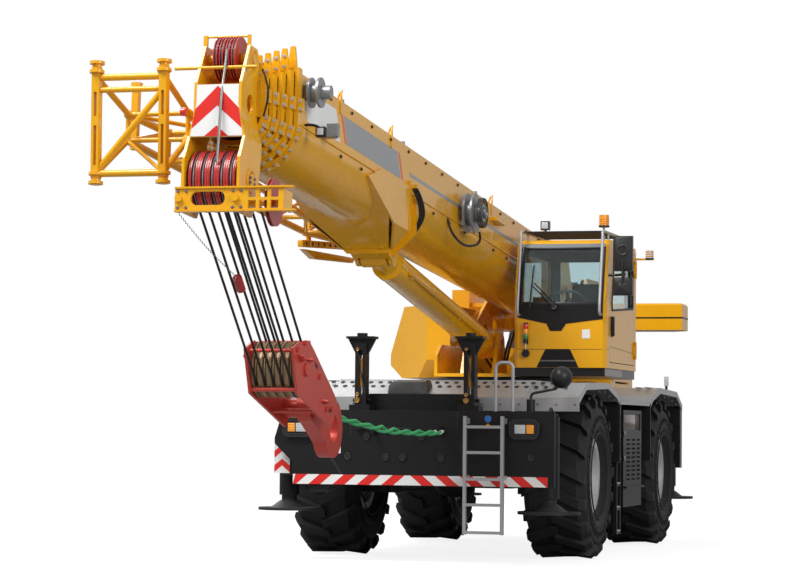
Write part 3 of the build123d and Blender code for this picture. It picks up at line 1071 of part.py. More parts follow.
def jib_lattice():
    """Lattice jib stowed on the boom's right side: root frame, four chords, braces and a second post."""
    corners = [((x, yi, zl), (x, yo, zl), (x, yo, zh), (x, yi, zh)) for x, yi, yo, zl, zh in JIB_STATIONS]
    bars = []
    for here, there in zip(corners, corners[1:]):
        for k in range(4):
            bars.append(bar(here[k], there[k], JIB_CHORD))
            bars.append(bar(here[k], there[(k + 1) % 4], JIB_BRACE))
    for ring in corners:
        for k in range(4):
            bars.append(bar(ring[k], ring[(k + 1) % 4], JIB_BRACE + 2))
        for point in ring:
            bars.append(Pos(*point) * Sphere(JIB_CHORD + 7))

    def on_root(y, z):
        """Point on the root frame's leaning plane."""
        return JIB_ROOT_X + JIB_ROOT_LEAN * (z - JIB_ROOT_LOW_Z) / (JIB_ROOT_HIGH_Z - JIB_ROOT_LOW_Z), y, z

    inner, outer = JIB_ROOT_INNER_Y, JIB_ROOT_OUTER_Y
    for z, radius in ((415, 30), (310, 24), (-385, 30)):
        bars.append(bar(on_root(inner, z), on_root(outer, z), radius))
    bars.append(bar(on_root(inner - 20, 290), on_root(outer + 20, -350), 27))
    feet = [(inner, -385), (outer, -385), (outer, 415), (inner, 415)]
    for (y, z), point in zip(feet, corners[0]):
        bars.append(bar(on_root(y, z), point, 26))
    bars.append(bar(on_root(*feet[0]), corners[0][1], 17))
    post_x, post_y = JIB_STATIONS[1][0] + 350, JIB_STATIONS[0][2] - 130
    for z in (-45, 201):                      # its arms reach in to the outer chords
        bars.append(bar((post_x, post_y + 162, z), (post_x, post_y, z + 70), 25))
    bars.append(cuboid((post_x - 34, post_x + 34), (post_y - 30, post_y + 30), (-10, 520)))
    bars.append(disc_z(post_x, post_y, 52, 520, 580))
    jib = bars[0] + bars[1:]
    return jib + root_post(inner) + root_post(outer)


# ---------------------------------------------------------------- head
def boom_head():
    """Joggled cheek plates, front plate, top sheave ears and the lower bracket of the fifth section's head."""
    front5 = BASE_FRONT_X + COLLAR_PITCH * (SECTION_COUNT - 1)
    upper = outline([(front5, 20), (front5, 417), (front5 + 10, 600), (front5 + 60, 660), (front5 + 240, 660),
                     (12120, 320), (12120, 20)])
    upper -= Pos(11900, 170) * Circle(80)
    joggle = plate_yz([(180, 20), (205, 20), (250, -130), (225, -130)], front5, 12120)
    lower = outline([(front5, -130), (12120, -130), (HEAD_FRONT_X, -320), (HEAD_FRONT_X, HEAD_BOTTOM_Z),
                     (11880, HEAD_BOTTOM_Z), (11790, -640), (front5, -250)])
    head = both_sides(plate_xz(upper, 180, 205) + joggle + plate_xz(lower, 225, 250))
    head += plate_yz([(-181, 300), (181, 300), (181, 138), (228, -136), (-228, -136), (-181, 138)], 12095, 12120)
    head += plate_yz([(-235, 400), (235, 400), (235, 100), (-235, 100)], front5, front5 + 30)
    head += cuboid((front5, 12000), (-182, 182), (60, 90))
    head += disc_y(HEAD_SHEAVE_X, HEAD_SHEAVE_Z, 60, -265, 265)
    head += disc_y(TOP_SHEAVE_X, TOP_SHEAVE_Z, 45, -215, 215)
    frame = cuboid((HEAD_FRONT_X - 25, HEAD_FRONT_X), (-296, 630), (HEAD_BOTTOM_Z, -565))
    window = Pos(-15, -660) * RectangleRounded(290, 110, 50)
    frame -= plate_yz(window, HEAD_FRONT_X - 40, HEAD_FRONT_X + 20)
    for y in (330, 425, 520):
        for z in (-745, -655):
            frame -= cuboid((HEAD_FRONT_X - 40, HEAD_FRONT_X + 20), (y, y + 65), (z, z + 65))
    frame += cuboid((HEAD_FRONT_X - 35, HEAD_FRONT_X + 15), (-296, 710), (-580, -565))
    frame += cuboid((HEAD_FRONT_X - 35, HEAD_FRONT_X + 15), (-296, 730), (HEAD_BOTTOM_Z, HEAD_BOTTOM_Z + 15))
    for y in (-262, 222):
        frame += plate_yz(Pos(y, -660) * Circle(30), HEAD_FRONT_X - 5, HEAD_FRONT_X + 25)
    frame += cuboid((AUX_SHEAVE_X - 40, HEAD_FRONT_X), (590, 615), (-745, -580))
    frame += disc_y(AUX_SHEAVE_X, AUX_SHEAVE_Z, 30, 240, 605)
    frame -= disc_y(HEAD_SHEAVE_X, HEAD_SHEAVE_Z, HEAD_SHEAVE_RADIUS + RUN, -209, 209)
    guard_z = TOP_SHEAVE_Z + TOP_SHEAVE_RADIUS + RUN
    for y in (-235, 175):
        head += cuboid((TOP_SHEAVE_X - 12, TOP_SHEAVE_X + 12), (min(y, 0.85 * y), max(y, 0.85 * y)),
                       (TOP_SHEAVE_Z - 60, guard_z + 12))
    head += bar((TOP_SHEAVE_X, -230, guard_z), (TOP_SHEAVE_X, 170, guard_z), 9)
    head += bar((TOP_SHEAVE_X + 190, -410, 455), (TOP_SHEAVE_X + 190, 300, 455), 15)
    return head + frame


FALLS_Y = [FALL_PITCH * (i - (FALL_COUNT - 1) / 2) for i in range(FALL_COUNT)]


def sheave_drum(radius, x, z, bore):
    """Row of sheaves on one shaft: a drum with one groove for each fall."""
    half = FALL_PITCH * FALL_COUNT / 2
    drum = disc_y(x, z, radius, -half, half)
    for y in FALLS_Y:
        groove = disc_y(x, z, radius + 10, y - GROOVE_WIDTH / 2, y + GROOVE_WIDTH / 2)
        drum -= groove - disc_y(x, z, radius - GROOVE_DEPTH, y - GROOVE_WIDTH, y + GROOVE_WIDTH)
    return drum - disc_y(x, z, bore + SEAT, -half - 5, half + 5)


def head_sheaves():
    """Lower sheave row, four top sheaves and the auxiliary sheave."""
    sheaves = sheave_drum(HEAD_SHEAVE_RADIUS, HEAD_SHEAVE_X, HEAD_SHEAVE_Z, 60)
    single = [
        # x, z, radius, bore, y
        *((TOP_SHEAVE_X, TOP_SHEAVE_Z, TOP_SHEAVE_RADIUS, 45, 8 + TOP_SHEAVE_PITCH * (i - 1.5)) for i in range(4)),
        (AUX_SHEAVE_X, AUX_SHEAVE_Z, AUX_SHEAVE_RADIUS, 30, 472),
    ]
    for x, z, radius, bore, y in single:
        disc = disc_y(x, z, radius, y - 19, y + 19)
        disc -= disc_y(x, z, radius + 10, y - 9, y + 9) - disc_y(x, z, radius - 25, y - 15, y + 15)
        sheaves += disc - disc_y(x, z, bore + SEAT, y - 30, y + 30)
    return sheaves


# ---------------------------------------------------------------- falls and hook block
HEAD_SHEAVE_AT = from_boom(HEAD_SHEAVE_X, HEAD_SHEAVE_Z)


def from_block(x, y):
    """Place of a block point in the crane's frame: x runs to the hook, y square to it."""
    c, s = cos(radians(BLOCK_TILT)), sin(radians(BLOCK_TILT))
    return BLOCK_X - x * c - y * s, BLOCK_Z - x * s + y * c


BLOCK_SHEAVE_AT = from_block(*BLOCK_SHEAVE_LOCAL)
BLOCK = Plane(origin=(BLOCK_X, 0, BLOCK_Z), x_dir=(-cos(radians(BLOCK_TILT)), 0, -sin(radians(BLOCK_TILT))),
              z_dir=(0, 1, 0))
FALLS_LENGTH = hypot(HEAD_SHEAVE_AT[0] - BLOCK_SHEAVE_AT[0], HEAD_SHEAVE_AT[1] - BLOCK_SHEAVE_AT[1])


def hoist_falls():
    """Parallel falls, front and back of both sheave rows, lying in their grooves."""
    ux = (BLOCK_SHEAVE_AT[0] - HEAD_SHEAVE_AT[0]) / FALLS_LENGTH
    uz = (BLOCK_SHEAVE_AT[1] - HEAD_SHEAVE_AT[1]) / FALLS_LENGTH
    reach_head = HEAD_SHEAVE_RADIUS - GROOVE_DEPTH + ROPE_RADIUS + SEAT
    reach_block = BLOCK_SHEAVE_RADIUS - GROOVE_DEPTH + ROPE_RADIUS + SEAT
    ropes = []
    for side in (-1, 1):
        nx, nz = -uz * side, ux * side
        for y in FALLS_Y:
            top = (HEAD_SHEAVE_AT[0] + nx * reach_head, y, HEAD_SHEAVE_AT[1] + nz * reach_head)
            low = (BLOCK_SHEAVE_AT[0] + nx * reach_block, y, BLOCK_SHEAVE_AT[1] + nz * reach_block)
            ropes.append(bar(top, low, ROPE_RADIUS))
    return ropes[0] + ropes[1:]


def block_frame():
    """Hook block's side plates, cross bars and trunnion."""
    face = outline([(-490, 20), (-325, 165), (-80, 280), (100, 265), (880, 165), (920, 70), (835, -130), (-195, -275)])
    plate = extrude(BLOCK * face, 22)
    sheave_x, sheave_y = BLOCK_SHEAVE_LOCAL
    frame = Pos(0, BLOCK_HALF_WIDTH - 22, 0) * plate + Pos(0, -BLOCK_HALF_WIDTH, 0) * plate
    for x, y, radius in ((-400, 40, 16), (-190, -235, 18), (-60, 262, 14), (420, 185, 20), (420, -160, 20)):
        if hypot(x - sheave_x, y - sheave_y) < BLOCK_SHEAVE_RADIUS + radius:
            x, y = sheave_x + (x - sheave_x) * 1.1, sheave_y + (y - sheave_y) * 1.1
        at = from_block(x, y)
        frame += disc_y(at[0], at[1], radius, -BLOCK_HALF_WIDTH + 5, BLOCK_HALF_WIDTH - 5)
    pin = from_block(sheave_x, sheave_y)
    frame += disc_y(pin[0], pin[1], 55, -BLOCK_HALF_WIDTH - 20, BLOCK_HALF_WIDTH + 20)
    at = from_block(*TRUNNION_LOCAL)
    frame += disc_y(at[0], at[1], TRUNNION_RADIUS, -BLOCK_HALF_WIDTH + 5, BLOCK_HALF_WIDTH - 5)
    return frame


def block_sheaves():
    """Sheave row of the hook block."""
    return sheave_drum(BLOCK_SHEAVE_RADIUS, BLOCK_SHEAVE_AT[0], BLOCK_SHEAVE_AT[1], 55)


def hook():
    """Single hook, its eye round the block's trunnion and its point curled back."""
    bowl = Pos(1400, 110) * (Circle(270) - Circle(125))
    bowl -= Pos(1400, 110) * outline([(0, 0), (-420, 40), (-420, 420), (20, 420)])
    point = Pos(1418, 307) * Circle(72)
    eye = Pos(*TRUNNION_LOCAL) * Circle(TRUNNION_RADIUS + 45)
    shank = outline([(780, -95), (1290, -110), (1330, 10), (1160, 70), (800, 130)])
    body = extrude(BLOCK * (bowl + point + eye + shank), HOOK_THICKNESS / 2, both=True)
    trunnion = from_block(*TRUNNION_LOCAL)
    return body - disc_y(trunnion[0], trunnion[1], TRUNNION_RADIUS + SEAT, -200, 200)


# ---------------------------------------------------------------- boom fittings
def cable_reels():
    """Two spring cable reels on the boom's left side, with a work lamp and rope guides on top."""
    side = BOOM_WIDTH / 2
    parts = None
    for x, z, radius in ((REEL_X, REEL_Z, REEL_RADIUS), (11060, 430, 130)):
        arm = cuboid((x - 40, x + 40), (side, side + 60), (z - 60, z + 60))
        reel = disc_y(x, z, radius, side + 55, side + 75) + disc_y(x, z, radius, side + 135, side + 155)
        reel += disc_y(x, z, radius * 0.62, side + 60, side + 150)
        reel += disc_y(x, z, radius * 0.45, side + 150, side + 240)
        parts = arm + reel if parts is None else parts + arm + reel
    parts += cuboid((10480, 10600), (side, side + 130), (140, 160))
    parts += cuboid((10490, 10560), (side + 50, side + 150), (150, 260))
    top = BOOM_AXIS_Z + BOOM_HEIGHT / 2
    for x in (4400, 7400, 9500):
        parts += cuboid((x, x + 30), (side - 160, side - 120), (top, top + 110))
    return parts


NODES = {
    # name: what builds it
    "chassis_frame": chassis_frame,
    "axle_beams": lambda: axle_beam(WHEELBASE / 2) + axle_beam(-WHEELBASE / 2),
    "drive_units": lambda: engine_block() + driveline(),
    "engine_hood": engine_hood,
    "front_outrigger_box": front_outrigger_box,
    "rear_outrigger_box": rear_outrigger_box,
    "fender_deck": fender_deck,
    "side_locker": side_locker,
    "fuel_tank": fuel_tank,
    "ladders": lambda: front_ladder() + side_steps(),
    "rest_posts": rest_posts,
    "bumper_fittings": lambda: lamps() + round_mirrors(),
    "slew_ring": slew_ring,
    "turntable": turntable,
    "counterweight": counterweight,
    "winches": winches,
    "side_housing": side_housing,
    "cab_shell": lambda: cab_shell() + door_hinges(),
    "cab_glass": cab_glass,
    "cab_interior": cab_interior,
    "cab_seat": cab_seat,
    "cab_fittings": lambda: cab_fittings() + mirrors(),
    "cab_door": cab_door,
    "door_glass": door_glass,
    "luff_barrel": lambda: LUFF * luff_barrel(),
    "luff_rod": lambda: LUFF * luff_rod(),
    "boom_base": lambda: BOOM * boom_base(),
    "jib_lattice": lambda: BOOM * jib_lattice(),
    "cable_reels": lambda: BOOM * cable_reels(),
    "boom_head": lambda: BOOM * boom_head(),
    "head_sheaves": lambda: BOOM * head_sheaves(),
    "hoist_falls": hoist_falls,
    "block_frame": block_frame,
    "block_sheaves": block_sheaves,
    "hook": hook,
}


def main():
    """Write every node's STEP file."""
    for name, build in NODES.items():
        export(name, build())
    for name, x, side in WHEELS:
        place = wheel_place(x, side)
        export("tyre_" + name, place * tyre())
        export("rim_" + name, place * rim())
        turn = Rot(0, 0, 0) if side > 0 else Rot(0, 0, 180)
        export("knuckle_" + name, Pos(x, side * KINGPIN_Y, TYRE_RADIUS) * turn * knuckle())
    for name, end, side, x in BEAMS:
        export("beam_" + name, outrigger_beam(end, side, x))
        export("jack_" + name, outrigger_jack(end, side))
    for index in range(1, SECTION_COUNT):
        export("boom_section_" + str(index + 1), BOOM * boom_tube(index))


if __name__ == "__main__":
    main()
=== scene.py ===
"""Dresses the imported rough-terrain crane: finishes, stripes, lamps, ropes, bolts and fittings.

Metres, in the frame's own axes: +X the driving direction, +Y the left side, +Z up. Fittings are
placed in the own axes of the carrier, the boom or the hook block, from the CAD's sizes.
"""
import json
import logging
import math
from dataclasses import dataclass, field
from enum import Enum
from itertools import product
from typing import Callable, Iterable, Sequence

import bmesh
import bpy
from mathutils import Matrix, Vector


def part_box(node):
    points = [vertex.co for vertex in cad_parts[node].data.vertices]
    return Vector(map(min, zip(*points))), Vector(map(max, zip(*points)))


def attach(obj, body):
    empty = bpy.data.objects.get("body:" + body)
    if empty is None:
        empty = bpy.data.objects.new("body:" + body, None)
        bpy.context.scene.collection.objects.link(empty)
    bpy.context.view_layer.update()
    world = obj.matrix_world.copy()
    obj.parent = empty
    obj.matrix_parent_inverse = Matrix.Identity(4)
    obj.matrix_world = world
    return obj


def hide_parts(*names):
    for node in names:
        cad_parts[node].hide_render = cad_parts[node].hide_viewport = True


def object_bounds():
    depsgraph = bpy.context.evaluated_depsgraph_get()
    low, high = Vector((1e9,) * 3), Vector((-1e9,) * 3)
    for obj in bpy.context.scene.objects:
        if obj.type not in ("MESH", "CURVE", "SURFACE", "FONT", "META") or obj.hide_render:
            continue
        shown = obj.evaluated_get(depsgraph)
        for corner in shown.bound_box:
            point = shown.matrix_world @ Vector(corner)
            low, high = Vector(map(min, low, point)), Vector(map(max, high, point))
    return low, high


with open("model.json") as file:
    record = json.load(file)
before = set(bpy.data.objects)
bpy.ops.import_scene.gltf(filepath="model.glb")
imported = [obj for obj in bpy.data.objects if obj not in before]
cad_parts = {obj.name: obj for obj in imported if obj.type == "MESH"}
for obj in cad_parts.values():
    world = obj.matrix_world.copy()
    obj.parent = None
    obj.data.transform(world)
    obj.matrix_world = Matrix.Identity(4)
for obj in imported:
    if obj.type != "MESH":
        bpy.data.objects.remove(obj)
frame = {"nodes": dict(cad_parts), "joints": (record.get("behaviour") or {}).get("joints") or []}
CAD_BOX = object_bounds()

LOG = logging.getLogger("crane")
Point = Sequence[float]
Piece = bpy.types.Object
Socket = bpy.types.NodeSocket
BOTH = (-1, 1)


# ================================================================ places
def centre(node: str) -> Vector:
    """Middle of a CAD node's box."""
    low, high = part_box(node)
    return (low + high) / 2


def placed(origin: Point, x_dir: Point, y_dir: Point = (0, 1, 0)) -> Matrix:
    """Place whose axes are a given x, a given y and the square to both.

    Args:
        origin: where the place's own zero lies.
        x_dir: direction of its x.
        y_dir: direction of its y.

    Returns:
        The matrix that takes the place's own points to the frame.
    """
    x, y = Vector(x_dir).normalized(), Vector(y_dir).normalized()
    turn = Matrix((x, y, x.cross(y))).transposed().to_4x4()
    return Matrix.Translation(Vector(origin)) @ turn


def stand(at: Point, facing: Matrix) -> Matrix:
    """Place of a fitting that stands on a point and looks one way."""
    return Matrix.Translation(Vector(at)) @ facing


def outward(side: int) -> Matrix:
    """Turn of a fitting that looks out on the left (1) or on the right (-1)."""
    return LEFT if side > 0 else RIGHT


def around(count: int, across: float, along: float = 0.0) -> list[tuple[float, float]]:
    """Points evenly spaced on a circle, or on an ellipse with two radii."""
    angles = [2 * math.pi * i / count for i in range(count)]
    return [(across * math.cos(a), (along or across) * math.sin(a)) for a in angles]


def rect(low: Point, high: Point) -> list[Point]:
    """Corners of an upright rectangle."""
    return [low, (high[0], low[1]), high, (low[0], high[1])]


def fixed(place: Matrix) -> Matrix:
    """Field of a dataclass whose first value is a place."""
    return field(default_factory=lambda: place)


class Facing(Enum):
    """Way that a flat fitting looks, with the turn that brings its own z there."""

    FRONT = Matrix(((0, 0, 1), (1, 0, 0), (0, 1, 0))).to_4x4()
    REAR = Matrix(((0, 0, -1), (-1, 0, 0), (0, 1, 0))).to_4x4()
    LEFT = Matrix(((-1, 0, 0), (0, 0, 1), (0, 1, 0))).to_4x4()
    RIGHT = Matrix(((1, 0, 0), (0, 0, -1), (0, 1, 0))).to_4x4()
    UP = Matrix.Identity(4)


FRONT, REAR, LEFT, RIGHT, UP = (facing.value for facing in Facing)
JOINTS = {joint["name"]: joint for joint in frame["joints"]}
AXLE_X = 2.05
MID_X = (centre("tyre_fl").x + centre("tyre_rl").x) / 2
CARRIER = Matrix.Translation((MID_X, 0, 0))
REAR_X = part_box("rear_outrigger_box")[0].x - MID_X
GROUND_Z = CAD_BOX[0][2]
BOOM = placed(JOINTS["boom_luff"]["pos_m"], JOINTS["tele_2"]["axis"])
BLOCK_TILT = math.radians(24)
BLOCK_X_DIR = Vector((-math.cos(BLOCK_TILT), 0, -math.sin(BLOCK_TILT)))
BLOCK_Y_DIR = Vector((-math.sin(BLOCK_TILT), 0, math.cos(BLOCK_TILT)))
BLOCK = placed(
    centre("block_sheaves") + 0.08 * BLOCK_X_DIR - 0.01 * BLOCK_Y_DIR, BLOCK_X_DIR, BLOCK_Y_DIR)
SCREEN = placed(Vector((1.4, 1.035, 2.76)), (0, 1, 0), (-0.17, 0, 0.68))
COUNTERWEIGHT_FRONT = stand((-3.0, 0, 0), FRONT)
CAB_LEFT = stand((0, 1.56, 0), LEFT)
ROPE_RADIUS = 0.011
FALL_PITCH = 0.08
HEAD_SHEAVES = Vector((11.948, 0, -0.477))
TOP_SHEAVES = Vector((11.85, 0, 0.561))


# ================================================================ finishes
class Wiring:
    """Short calls for placing and joining nodes in one tree."""

    kinds = {tuple: "NodeSocketColor", float: "NodeSocketFloat", type(None): "NodeSocketVector"}

    def __init__(self, tree: bpy.types.NodeTree) -> None:
        """Keeps the tree that the nodes go into."""
        self.tree = tree

    def put(self, target: Socket, value: object) -> None:
        """Feeds a socket with another socket's result, or with a plain value.

        Args:
            target: the socket.
            value: what feeds it.
        """
        if isinstance(value, Socket):
            self.tree.links.new(value, target)
        else:
            target.default_value = value

    def fill(self, inputs: bpy.types.NodeInputs, **values: object) -> None:
        """Feeds several sockets by name, with _ for a space."""
        for name, value in values.items():
            self.put(inputs[name.replace("_", " ")], value)

    def node(self, kind: str, **values: object) -> bpy.types.Node:
        """New node; a value is a property, or a socket when its name starts with in_.

        Args:
            kind: the node's type.
            values: its settings by name.

        Returns:
            The node.
        """
        made = self.tree.nodes.new(kind)
        for key, value in values.items():
            if key.startswith("in_"):
                slot = key[3:].replace("_", " ")
                self.put(made.inputs[int(slot) if slot.isdigit() else slot], value)
            else:
                setattr(made, key, value)
        return made

    def math(self, operation: str, first: object, second: object = 0.0) -> Socket:
        """Result of one sum."""
        return self.node("ShaderNodeMath", operation=operation, in_0=first, in_1=second).outputs[0]

    def times(self, first: object, second: object) -> Socket:
        """Product of two values."""
        return self.math("MULTIPLY", first, second)

    def blend(self, factor: object, first: object, second: object) -> Socket:
        """Mix of two values."""
        return self.node("ShaderNodeMix", data_type="FLOAT", in_0=factor, in_2=first,
                         in_3=second).outputs[0]

    def mix(self, factor: object, first: object, second: object) -> Socket:
        """Mix of two colours."""
        return self.node("ShaderNodeMix", data_type="RGBA", in_0=factor, in_6=first,
                         in_7=second).outputs[2]


def new_group(name: str, inputs: dict[str, object], outputs: dict[str, object]) -> tuple:
    """Empty shader group with named sockets, whose types follow from the values given.

    Args:
        name: the group's name.
        inputs: first value of each input, or None for a vector.
        outputs: any value of each output's type.

    Returns:
        The group, its wiring, what comes in and what goes out.
    """
    group = bpy.data.node_groups.new(name, "ShaderNodeTree")
    for way, sockets in (("INPUT", inputs), ("OUTPUT", outputs)):
        for label, value in sockets.items():
            kind = Wiring.kinds[type(value)]
            socket = group.interface.new_socket(name=label, in_out=way, socket_type=kind)
            if way == "INPUT" and value is not None:
                socket.default_value = value
    given = group.nodes.new("NodeGroupInput").outputs
    return group, Wiring(group), given, group.nodes.new("NodeGroupOutput").inputs


def surface_group() -> bpy.types.ShaderNodeTree:
    """Group that ages a colour: tone that drifts, dust that settles, worn edges and grain.

    Returns:
        The group.
    """
    grey = (0.5, 0.5, 0.5, 1)
    group, wires, given, result = new_group(
        "surface_age",
        {"Colour": grey, "Worn": (0.3, 0.3, 0.3, 1), "Drift": 0.05, "Dust": 0.1, "Wear": 0.2,
         "Grain": 90.0, "Roughness": 0.4},
        {"Colour": grey, "Roughness": 0.0, "Height": 0.0})
    coordinates = wires.node("ShaderNodeTexCoord").outputs

    def noise(scale: object, detail: float) -> Socket:
        """Noise of one scale over the piece's own coordinates."""
        return wires.node("ShaderNodeTexNoise", in_Vector=coordinates["Object"], in_Scale=scale,
                          in_Detail=detail).outputs[0]

    broad, patches, fine = noise(1.7, 3.0), noise(11.0, 4.0), noise(given["Grain"], 2.0)
    drift = wires.times(wires.math("SUBTRACT", broad, 0.5), given["Drift"])
    value = wires.math("ADD", wires.times(drift, 2.0), 1.0)
    toned = wires.node("ShaderNodeHueSaturation", in_Color=given["Colour"], in_Value=value)
    round_normal = wires.node("ShaderNodeBevel", samples=3, in_Radius=0.012).outputs[0]
    normal = wires.node("ShaderNodeNewGeometry").outputs["Normal"]
    same = wires.node("ShaderNodeVectorMath", operation="DOT_PRODUCT", in_0=round_normal,
                      in_1=normal).outputs["Value"]
    edge = wires.times(wires.math("SUBTRACT", 1.0, same), 6.0)
    edge = wires.times(wires.times(edge, patches), given["Wear"])
    edge = wires.node("ShaderNodeClamp", in_Value=edge).outputs[0]
    worn = wires.mix(edge, toned.outputs[0], given["Worn"])
    upward = wires.node("ShaderNodeSeparateXYZ", in_Vector=coordinates["Normal"]).outputs[2]
    settled = wires.node("ShaderNodeMapRange", in_Value=upward, in_1=0.2, in_2=1.0, in_3=0.15,
                         in_4=1.0).outputs[0]
    dust = wires.times(wires.times(settled, patches), given["Dust"])
    uneven = wires.times(wires.math("SUBTRACT", patches, 0.5), 0.12)
    rough = wires.math("ADD", given["Roughness"], uneven)
    wires.fill(result, Colour=wires.mix(dust, worn, (0.42, 0.39, 0.35, 1)),
               Roughness=wires.math("ADD", rough, wires.times(dust, 0.4)), Height=fine)
    return group


def zone_group() -> bpy.types.ShaderNodeTree:
    """Group that tells whether a point lies inside a box between two corners.

    Returns:
        The group.
    """
    group, wires, given, result = new_group(
        "zone_mask", {"Point": None, "Low": None, "High": None}, {"Mask": 0.0})
    at, low, high = (wires.node("ShaderNodeSeparateXYZ", in_Vector=given[name]).outputs
                     for name in ("Point", "Low", "High"))
    mask: object = 1.0
    for axis in range(3):
        above = wires.math("GREATER_THAN", at[axis], low[axis])
        below = wires.math("LESS_THAN", at[axis], high[axis])
        mask = wires.times(wires.times(above, below), mask)
    wires.fill(result, Mask=mask)
    return group


GROUPS: dict[str, bpy.types.ShaderNodeTree] = {}


def shared(make: Callable[[], bpy.types.ShaderNodeTree]) -> bpy.types.ShaderNodeTree:
    """Group made at its first use and shared from then on.

    Args:
        make: the function that makes it.

    Returns:
        The group.
    """
    if make.__name__ not in GROUPS:
        GROUPS[make.__name__] = make()
    return GROUPS[make.__name__]


def new_material(name: str) -> tuple[bpy.types.Material, Wiring, bpy.types.NodeInputs]:
    """New material, with its wiring and the inputs of its shader.

    Args:
        name: its name.

    Returns:
        The material, its wiring and the inputs.
    """
    made = bpy.data.materials.new(name)
    made.use_nodes = True
    return made, Wiring(made.node_tree), made.node_tree.nodes["Principled BSDF"].inputs


class Texture(Enum):
    """Fine relief of a surface: scale of its noise and depth of its bump."""

    SPRAYED = (90.0, 0.04)
    CAST = (45.0, 0.35)
    BRUSHED = (160.0, 0.08)
    SUPPLE = (30.0, 0.4)
    WOVEN = (900.0, 0.5)
    SMOOTH = (10.0, 0.0)


SPRAYED, CAST, BRUSHED, SUPPLE, WOVEN, SMOOTH = Texture


@dataclass(frozen=True)
class Finish:
    """Look of a surface: colour, gloss, fine relief, and how it ages."""

    name: str
    slot: str
    colour: tuple[float, float, float]
    roughness: float = 0.4
    metallic: float = 0.0
    coat: float = 0.0
    specular: float = 0.4
    texture: Texture = SPRAYED
    drift: float = 0.06
    dust: float = 0.08
    wear: float = 0.25
    worn: tuple[float, float, float] = (0.2, 0.19, 0.18)
    transmission: float = 0.0
    glow: float = 0.0

    def aged(self, wires: Wiring) -> bpy.types.NodeOutputs:
        """Results of this finish's ageing group, placed in a material.

        Args:
            wires: the material's wiring.

        Returns:
            The group's outputs.
        """
        return wires.node(
            "ShaderNodeGroup", node_tree=shared(surface_group), in_Colour=(*self.colour, 1),
            in_Worn=(*self.worn, 1), in_Drift=self.drift, in_Dust=self.dust, in_Wear=self.wear,
            in_Grain=self.texture.value[0], in_Roughness=self.roughness).outputs

    def material(self, zones: Sequence["Zone"] = (), name: str = "") -> bpy.types.Material:
        """Material of this finish, with other finishes inside the zones.

        Args:
            zones: boxes of the surface that have another finish.
            name: the material's name where zones make it a special one.

        Returns:
            The material, made once for each name.
        """
        known = bpy.data.materials.get(name or self.name)
        if known:
            return known
        made, wires, inputs = new_material(name or self.name)
        aged = self.aged(wires)
        colour, rough, metal = aged["Colour"], aged["Roughness"], self.metallic
        for zone in zones:
            mask, other = zone.mask(wires), zone.finish.aged(wires)
            colour = wires.mix(mask, colour, other["Colour"])
            rough = wires.blend(mask, rough, other["Roughness"])
            if zone.finish.metallic != self.metallic:
                metal = wires.blend(mask, metal, zone.finish.metallic)
        wires.fill(inputs, Base_Color=colour, Roughness=rough, Metallic=metal,
                   Coat_Weight=self.coat, Coat_Roughness=0.06, Specular_IOR_Level=self.specular,
                   Transmission_Weight=self.transmission)
        if self.glow:
            wires.fill(inputs, Emission_Color=(*self.colour, 1), Emission_Strength=self.glow)
        if self.texture is not SMOOTH:
            bump = wires.node("ShaderNodeBump", in_Strength=self.texture.value[1],
                              in_Distance=0.002, in_Height=aged["Height"])
            wires.fill(inputs, Normal=bump.outputs[0])
        return made


@dataclass(frozen=True)
class Zone:
    """Box of a surface, between two corners in a place's own axes, that has another finish."""

    finish: Finish
    low: tuple[float, float, float]
    high: tuple[float, float, float]
    origin: tuple[float, float, float] = tuple(CARRIER.to_translation())

    def mask(self, wires: Wiring) -> Socket:
        """One inside the box and zero outside.

        Args:
            wires: the material's wiring.

        Returns:
            The socket that tells it.
        """
        point = wires.node("ShaderNodeTexCoord").outputs["Object"]
        local = wires.node("ShaderNodeMapping", in_Vector=point,
                           in_Location=-Vector(self.origin)).outputs[0]
        return wires.node("ShaderNodeGroup", node_tree=shared(zone_group), in_Point=local,
                          in_Low=self.low, in_High=self.high).outputs[0]


YELLOW = Finish("yellow_paint", "crane_yellow", (0.82, 0.40, 0.006), 0.26, coat=0.45,
                specular=0.25, dust=0.02, worn=(0.35, 0.15, 0.01))
BLACK = Finish("black_paint", "dark_paint", (0.009, 0.009, 0.010), coat=0.1, specular=0.25,
               dust=0.03, worn=(0.05, 0.05, 0.05))
CHARCOAL = Finish("charcoal_paint", "dark_paint", (0.02, 0.02, 0.022), 0.5, specular=0.3,
                  dust=0.06, worn=(0.09, 0.09, 0.09))
IRON = Finish("cast_housing", "cast_iron", (0.02, 0.02, 0.021), 0.6, 0.2, texture=CAST, dust=0.1)
DECK = Finish("deck_metal", "silver_paint", (0.52, 0.53, 0.54), 0.38, 0.55, texture=BRUSHED,
              dust=0.1)
SILVER = Finish("silver_paint", "silver_paint", (0.42, 0.43, 0.44), 0.33, 0.35, coat=0.2, wear=0.4)
CHROME = Finish("hard_chrome", "steel", (0.72, 0.72, 0.73), 0.14, 1.0, texture=SMOOTH, dust=0.02,
                wear=0.0)
STEEL = Finish("machined_steel", "steel", (0.34, 0.34, 0.35), 0.35, 0.9, texture=BRUSHED)
ZINC = Finish("zinc_bolts", "steel", (0.62, 0.62, 0.63), 0.3, 0.6, texture=SMOOTH, wear=0.0)
REEL = Finish("reel_metal", "grey_plastic", (0.30, 0.31, 0.32), 0.35, 0.5, texture=CAST)
INSIDE = Finish("cab_trim", "grey_plastic", (0.20, 0.22, 0.235), 0.6, texture=CAST, wear=0.05)
BLUE_FILM = Finish("blue_film", "silver_paint", (0.02, 0.16, 0.55), 0.35, coat=0.4, wear=0.05)
GEAR = Finish("greased_gear", "steel", (0.03, 0.028, 0.026), 0.3, 0.6, texture=CAST, wear=0.6)
